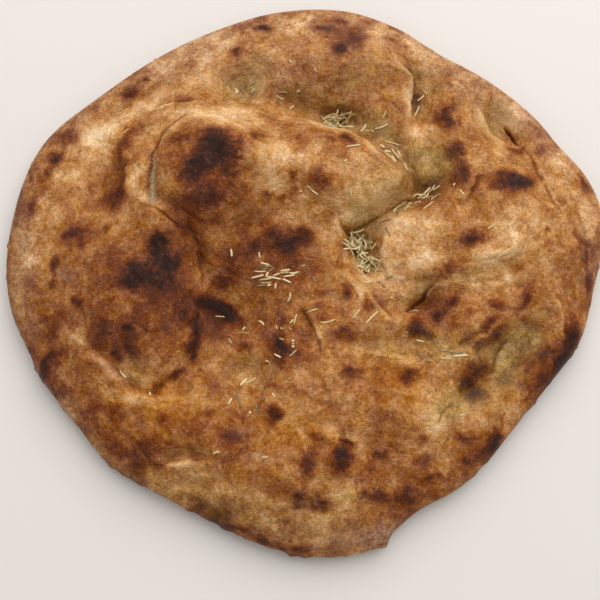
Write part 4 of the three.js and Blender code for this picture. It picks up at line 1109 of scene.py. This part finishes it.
# x, y, length, direction in degrees.
SINGLE_NEEDLES = [
    (-9.2, 26.0, 5.6, -7), (1.7, 3.1, 6.1, -6), (-41.6, 6.3, 4.4, -83), (-26.0, 5.3, 3.4, -80),
    (-25.7, -3.7, 6.6, 0), (-23.0, -2.3, 3.4, 10), (-19.1, -3.2, 4.0, 33), (-27.1, -6.8, 7.4, 13),
    (-21.8, -5.7, 3.1, 69), (-16.6, -6.3, 4.2, 23), (-9.7, -6.7, 6.7, 9), (-6.9, -4.8, 5.5, 5),
    (-11.0, -9.5, 5.5, -26), (-26.2, -9.7, 2.7, 36), (-22.4, -10.5, 6.6, 0), (-24.8, -12.1, 5.0, -1),
    (-20.7, -11.9, 2.3, 15), (-17.1, -12.2, 3.4, 81), (-21.5, -8.0, 3.2, 32), (-1.9, -0.9, 2.3, 14),
    (4.4, -8.7, 3.2, -60), (1.3, -13.3, 2.8, 90), (-9.9, -18.7, 5.1, 71), (3.0, -26.2, 6.9, 18),
    (11.7, -31.7, 9.1, 15), (27.1, -27.8, 7.0, 51), (35.6, -30.2, 10.2, 45), (-47.9, -28.4, 5.1, 3),
    (-31.9, -33.0, 7.8, 61), (-34.7, -35.1, 2.9, 57), (-35.1, -38.5, 7.2, -5), (-41.8, -42.8, 4.0, -56),
    (-25.0, -32.3, 4.4, -41), (-8.3, -31.7, 2.7, 53), (-6.1, -30.5, 5.8, 74), (-16.5, -34.9, 2.3, -76),
    (-13.7, -35.5, 2.0, -34), (-9.1, -35.8, 2.8, -38), (-13.7, -41.6, 3.0, -22), (-7.4, -42.8, 1.5, 0),
    (-7.4, -44.4, 1.5, 0), (-7.4, -46.0, 1.5, 0), (-7.4, -49.6, 5.8, 42), (-15.8, -51.0, 4.4, -30),
    (-21.6, -53.8, 2.3, -15), (-34.4, -64.7, 5.4, 48), (-31.1, -63.8, 7.8, 26), (-25.3, -68.9, 4.4, -1),
    (-17.9, -72.3, 2.7, -53), (-10.6, -63.8, 4.7, -21), (-57.9, 108.2, 4.0, -33),
    (-40.5, 105.2, 3.8, -52), (-37.6, 105.5, 5.6, -65), (-40.2, 104.3, 2.8, 80), (-37.8, 102.0, 3.9, -62),
    (-31.0, 111.4, 5.6, 43), (-30.7, 108.8, 4.1, 33), (-31.8, 106.2, 2.9, 38), (-31.2, 104.6, 3.4, 48),
    (-30.6, 103.2, 3.4, 48), (-13.6, 101.5, 6.3, 0), (-14.8, 99.4, 5.5, -21), (-8.5, 94.5, 3.9, 43),
    (-4.7, 101.8, 2.4, 13), (-9.0, 118.5, 2.6, -48), (5.2, 111.6, 1.8, -72), (11.5, 103.8, 3.5, -36),
    (25.7, 64.4, 8.7, 12), (21.3, 55.3, 2.3, 13), (1.4, 40.4, 4.4, -41), (4.4, 38.1, 4.8, -35),
    (-3.3, 39.3, 1.7, -3), (24.3, 38.0, 4.6, -82), (32.3, 80.3, 5.9, 54), (42.3, 79.6, 8.1, 16),
    (35.6, 77.9, 5.7, -12), (37.0, 77.7, 3.7, -65), (48.3, 69.8, 9.4, -17), (42.5, 67.0, 2.9, -39),
    (45.5, 63.3, 4.2, 14), (47.0, 59.6, 8.0, -40), (43.8, 86.1, 6.1, 62), (52.4, 63.7, 3.9, -65),
    (69.2, 104.6, 3.8, -54), (66.6, 101.2, 5.4, 39), (64.2, 92.9, 7.8, 66), (70.2, 78.5, 3.9, -36),
    (61.2, 71.3, 4.0, 64), (82.5, 45.0, 1.5, 44), (86.3, 39.8, 4.5, -55), (67.4, 43.1, 8.4, 44),
    (69.3, 40.3, 5.4, 11), (72.9, 39.2, 6.0, 27), (71.8, 45.7, 3.0, 58), (55.0, 36.7, 3.7, 20),
    (62.8, 36.7, 4.0, 14), (67.8, 33.2, 8.8, 41), (101.4, 19.3, 6.1, 34), (59.4, -25.2, 5.0, 0),
    (54.5, -37.9, 2.2, -16), (70.6, -42.2, 4.7, 54), (61.8, -42.9, 4.4, -16), (62.0, -51.5, 4.2, -42),
    (76.2, -48.5, 8.9, -6), (81.7, -49.5, 7.8, 9), (83.6, -50.9, 8.3, 4), (75.6, -52.6, 6.6, -4),
    (66.6, -54.2, 4.9, -6), (108.4, -63.7, 7.1, -28), (80.8, -77.5, 4.6, -13), (84.3, -82.7, 3.4, 10),
    (28.7, 20.8, 9.5, 24), (38.5, 23.9, 2.9, -9), (44.5, 25.9, 5.9, 3), (50.5, 24.2, 4.9, 26),
    (45.1, 18.2, 6.6, -69), (50.0, 32.4, 3.8, 55), (51.6, 31.1, 5.8, 64), (56.8, 34.1, 6.3, 55),
    (49.7, -1.6, 5.1, 40), (45.8, -7.4, 4.2, 23), (34.7, -11.0, 4.6, 31), (40.8, -11.3, 6.3, -40),
    (46.9, -18.9, 1.8, -15), (-41.3, -75.8, 4.3, 61), (-36.8, -75.0, 9.2, -72), (-27.3, -77.9, 3.9, -74),
    (-30.5, -81.7, 1.6, -89), (-27.6, -80.9, 2.9, 22), (-48.1, -103.3, 3.9, 16), (-22.3, -105.1, 3.3, 9),
    (10.2, -75.0, 2.9, -22), (-84.2, -71.8, 2.2, -74), (-99.6, -61.1, 5.1, -48), (25.0, 16.2, 3.6, -12),
    (28.2, 15.5, 4.5, -67), (31.4, 19.0, 4.7, -7), (31.7, 18.1, 4.8, 69), (34.6, 13.9, 5.6, 38),
    (34.4, 15.5, 5.4, -74), (27.6, 10.5, 4.3, -67), (30.5, 12.5, 6.2, 62), (34.3, 11.5, 8.3, 43),
    (29.3, 19.3, 4.1, -63), (36.1, 17.7, 5.5, -75), (26.2, 14.3, 3.7, -14), (36.3, 5.2, 9.2, -8),
    (30.3, 3.3, 5.2, -41), (32.8, 2.4, 5.4, 33), (35.5, -0.4, 6.7, -52), (33.8, -1.0, 6.6, 32),
    (37.1, 1.5, 6.5, -62), (28.8, 1.0, 4.3, -38), (35.9, -1.7, 6.7, -16), (35.1, -2.2, 4.1, 64),
    (38.2, 1.6, 3.6, -28), (31.5, 8.0, 4.5, 30), (37.5, 11.0, 4.3, 52),
]
# x, y, half length, half width, turn, count, direction and its wander in degrees, height of the heap.
NEEDLE_HEAPS = {
    "rosemary pit": (29, 13, 7, 6, 0, 34, 40, 90, 2.4),
    "rosemary pit's lower end": (34, 1, 7.5, 5, -40, 24, 20, 80, 1.8),
    "rosemary groove": (58, 36, 22, 2, 33, 12, 35, 20, 0.5),
    "middle heap": (-20, -4, 11, 5, 0, 6, 8, 22, 0.6),
    "upper middle hollow": (19, 87, 8.5, 4.5, -12, 36, 0, 80, 1.6),
    "tip of the bulge": (50, 63, 12, 4, -40, 3, -50, 40, 0.3),
}


def heaped_needles(random):
    """Needles drawn at random inside each heap, as x, y, length, direction and height above the crust."""
    needles = []
    for middle_x, middle_y, long, wide, turn, count, lie, wander, height in NEEDLE_HEAPS.values():
        angle = math.radians(turn)
        for _ in range(count):
            bearing, reach = random.uniform(0, 2 * math.pi), math.sqrt(random.uniform())
            along, across = long * reach * math.cos(bearing), wide * reach * math.sin(bearing)
            x = middle_x + along * math.cos(angle) - across * math.sin(angle)
            y = middle_y + along * math.sin(angle) + across * math.cos(angle)
            lift = height * (1 - reach**2) * random.uniform()
            length, direction = random.uniform(*HEAPED_LENGTHS), lie + wander * random.uniform(-1, 1)
            needles.append((x, y, length, direction, lift))
    return needles


def needle_points(x, y, length, lie, lift, random):
    """Vertices of one bowed leaf, blunt at the tip and narrower at its foot, in rings along it."""
    angle = math.radians(lie)
    forward = np.array([math.cos(angle), math.sin(angle)])
    sideways = np.array([-forward[1], forward[0]])
    share = np.linspace(-1, 1, NEEDLE_STATIONS)
    bow = length * NEEDLE_BOW * random.uniform(-1, 1) ** 3 * (1 - share**2)
    middle = np.array([x, y]) + np.outer(share * length / 2, forward) + np.outer(bow, sideways)

    crust = crust_height(middle[:, 0], middle[:, 1])
    resting = np.polyval(np.polyfit(share, crust, 2), share)
    tilt = random.uniform(-NEEDLE_TILT, NEEDLE_TILT) * min(lift, NEEDLE_TILT_LIFT) * share
    height = np.maximum(resting, crust) + lift + NEEDLE_CLEARANCE + tilt

    swell = (1 - np.abs(share) ** NEEDLE_BLUNTNESS) ** 0.5 * (1 - NEEDLE_FOOT * (share < 0) * share**2)
    swell = np.maximum(swell, NEEDLE_END) * random.uniform(*NEEDLE_GIRTHS)
    around = 2 * math.pi * np.arange(NEEDLE_SIDES) / NEEDLE_SIDES
    depth, half_width = NEEDLE_GROOVE
    groove = 1 - depth * np.exp(-(((around - math.pi / 2) / half_width) ** 2))
    across = NEEDLE_WIDTH / 2 * np.outer(swell, np.cos(around))
    upward = NEEDLE_THICKNESS / 2 * np.outer(swell, np.sin(around) * groove)
    flat = middle[:, None, :] + across[:, :, None] * sideways
    return np.concatenate([flat, (height[:, None] + upward)[:, :, None]], 2).reshape(-1, 3)


def needle_faces():
    """Bands between the rings of a leaf, and a fan at either end."""
    faces = []
    for station in range(NEEDLE_STATIONS - 1):
        near, far = station * NEEDLE_SIDES, (station + 1) * NEEDLE_SIDES
        for side in range(NEEDLE_SIDES):
            following = (side + 1) % NEEDLE_SIDES
            faces.append((near + side, far + side, far + following))
            faces.append((near + side, far + following, near + following))
    last = (NEEDLE_STATIONS - 1) * NEEDLE_SIDES
    for side in range(1, NEEDLE_SIDES - 1):
        faces.append((0, side, side + 1))
        faces.append((last, last + side + 1, last + side))
    return np.array(faces)


def make_rosemary(material):
    random = np.random.default_rng(ROSEMARY_SEED)
    needles = [(*needle, 0.0) for needle in SINGLE_NEEDLES] + heaped_needles(random)
    leaves, tones = [], []
    for needle in needles:
        leaves.append(needle_points(*needle, random))
        tones.append(random.uniform(*NEEDLE_TONES))
    count = NEEDLE_STATIONS * NEEDLE_SIDES
    faces = np.vstack([needle_faces() + leaf * count for leaf in range(len(leaves))])
    attributes = {"tone": np.repeat(tones, count)}
    return mesh_object("rosemary", np.vstack(leaves) * MM, faces, attributes, material)


# ---- Stage, light and camera ---------------------------------------------------------------------------

# In metres, and the window shines on the origin.
FLOOR_SIZE = 4.0
WINDOW_PLACE = Vector((0.35, 1.0, 1.4))
WINDOW_SIZE = 2.4
WINDOW_POWER = 32.0
WINDOW_COLOUR = (1.0, 0.98, 0.96)
SKY_COLOUR = (0.985, 0.98, 0.965, 1.0)
SKY_STRENGTH = 0.48
CAMERA_TARGET = Vector((-3.6, -20.0, 27.0)) * MM  # seen at the middle of the picture
CAMERA_DISTANCE = 0.55
CAMERA_ELEVATION = 80.0
CAMERA_LENS = 60.0  # on the default 36 mm wide sensor
CAMERA_NEAREST = 0.01


def make_floor():
    bpy.ops.mesh.primitive_plane_add(size=FLOOR_SIZE)
    floor = bpy.context.object
    floor.name = "floor"
    floor.data.materials.append(floor_material())


def aim(obj, target):
    obj.rotation_euler = (target - obj.location).to_track_quat("-Z", "Y").to_euler()


def make_window():
    """A large soft light beyond the loaf's upper edge."""
    light = bpy.data.lights.new("window", "AREA")
    light.shape = "DISK"
    light.size = WINDOW_SIZE
    light.energy = WINDOW_POWER
    light.color = WINDOW_COLOUR
    window = bpy.data.objects.new("window", light)
    window.location = WINDOW_PLACE
    aim(window, Vector((0, 0, 0)))
    bpy.context.scene.collection.objects.link(window)


def make_sky():
    world = bpy.data.worlds.new("soft room")
    world.use_nodes = True
    background = world.node_tree.nodes["Background"]
    background.inputs["Color"].default_value = SKY_COLOUR
    background.inputs["Strength"].default_value = SKY_STRENGTH
    bpy.context.scene.world = world


def make_camera():
    camera = bpy.data.objects.new("camera", bpy.data.cameras.new("camera"))
    camera.data.lens = CAMERA_LENS
    camera.data.clip_start = CAMERA_NEAREST
    elevation = math.radians(CAMERA_ELEVATION)
    away = Vector((0, -math.cos(elevation), math.sin(elevation)))
    camera.location = CAMERA_TARGET + CAMERA_DISTANCE * away
    aim(camera, CAMERA_TARGET)
    bpy.context.scene.collection.objects.link(camera)
    bpy.context.scene.camera = camera


def main():
    loaf = make_loaf(crust_material())
    rosemary = make_rosemary(needle_material())
    for piece in (loaf, rosemary):
        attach(piece, "root")
    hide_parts("focaccia")
    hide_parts("focaccia")
    make_floor()
    make_window()
    make_sky()
    make_camera()
    bpy.context.scene.view_settings.view_transform = "Standard"


main()
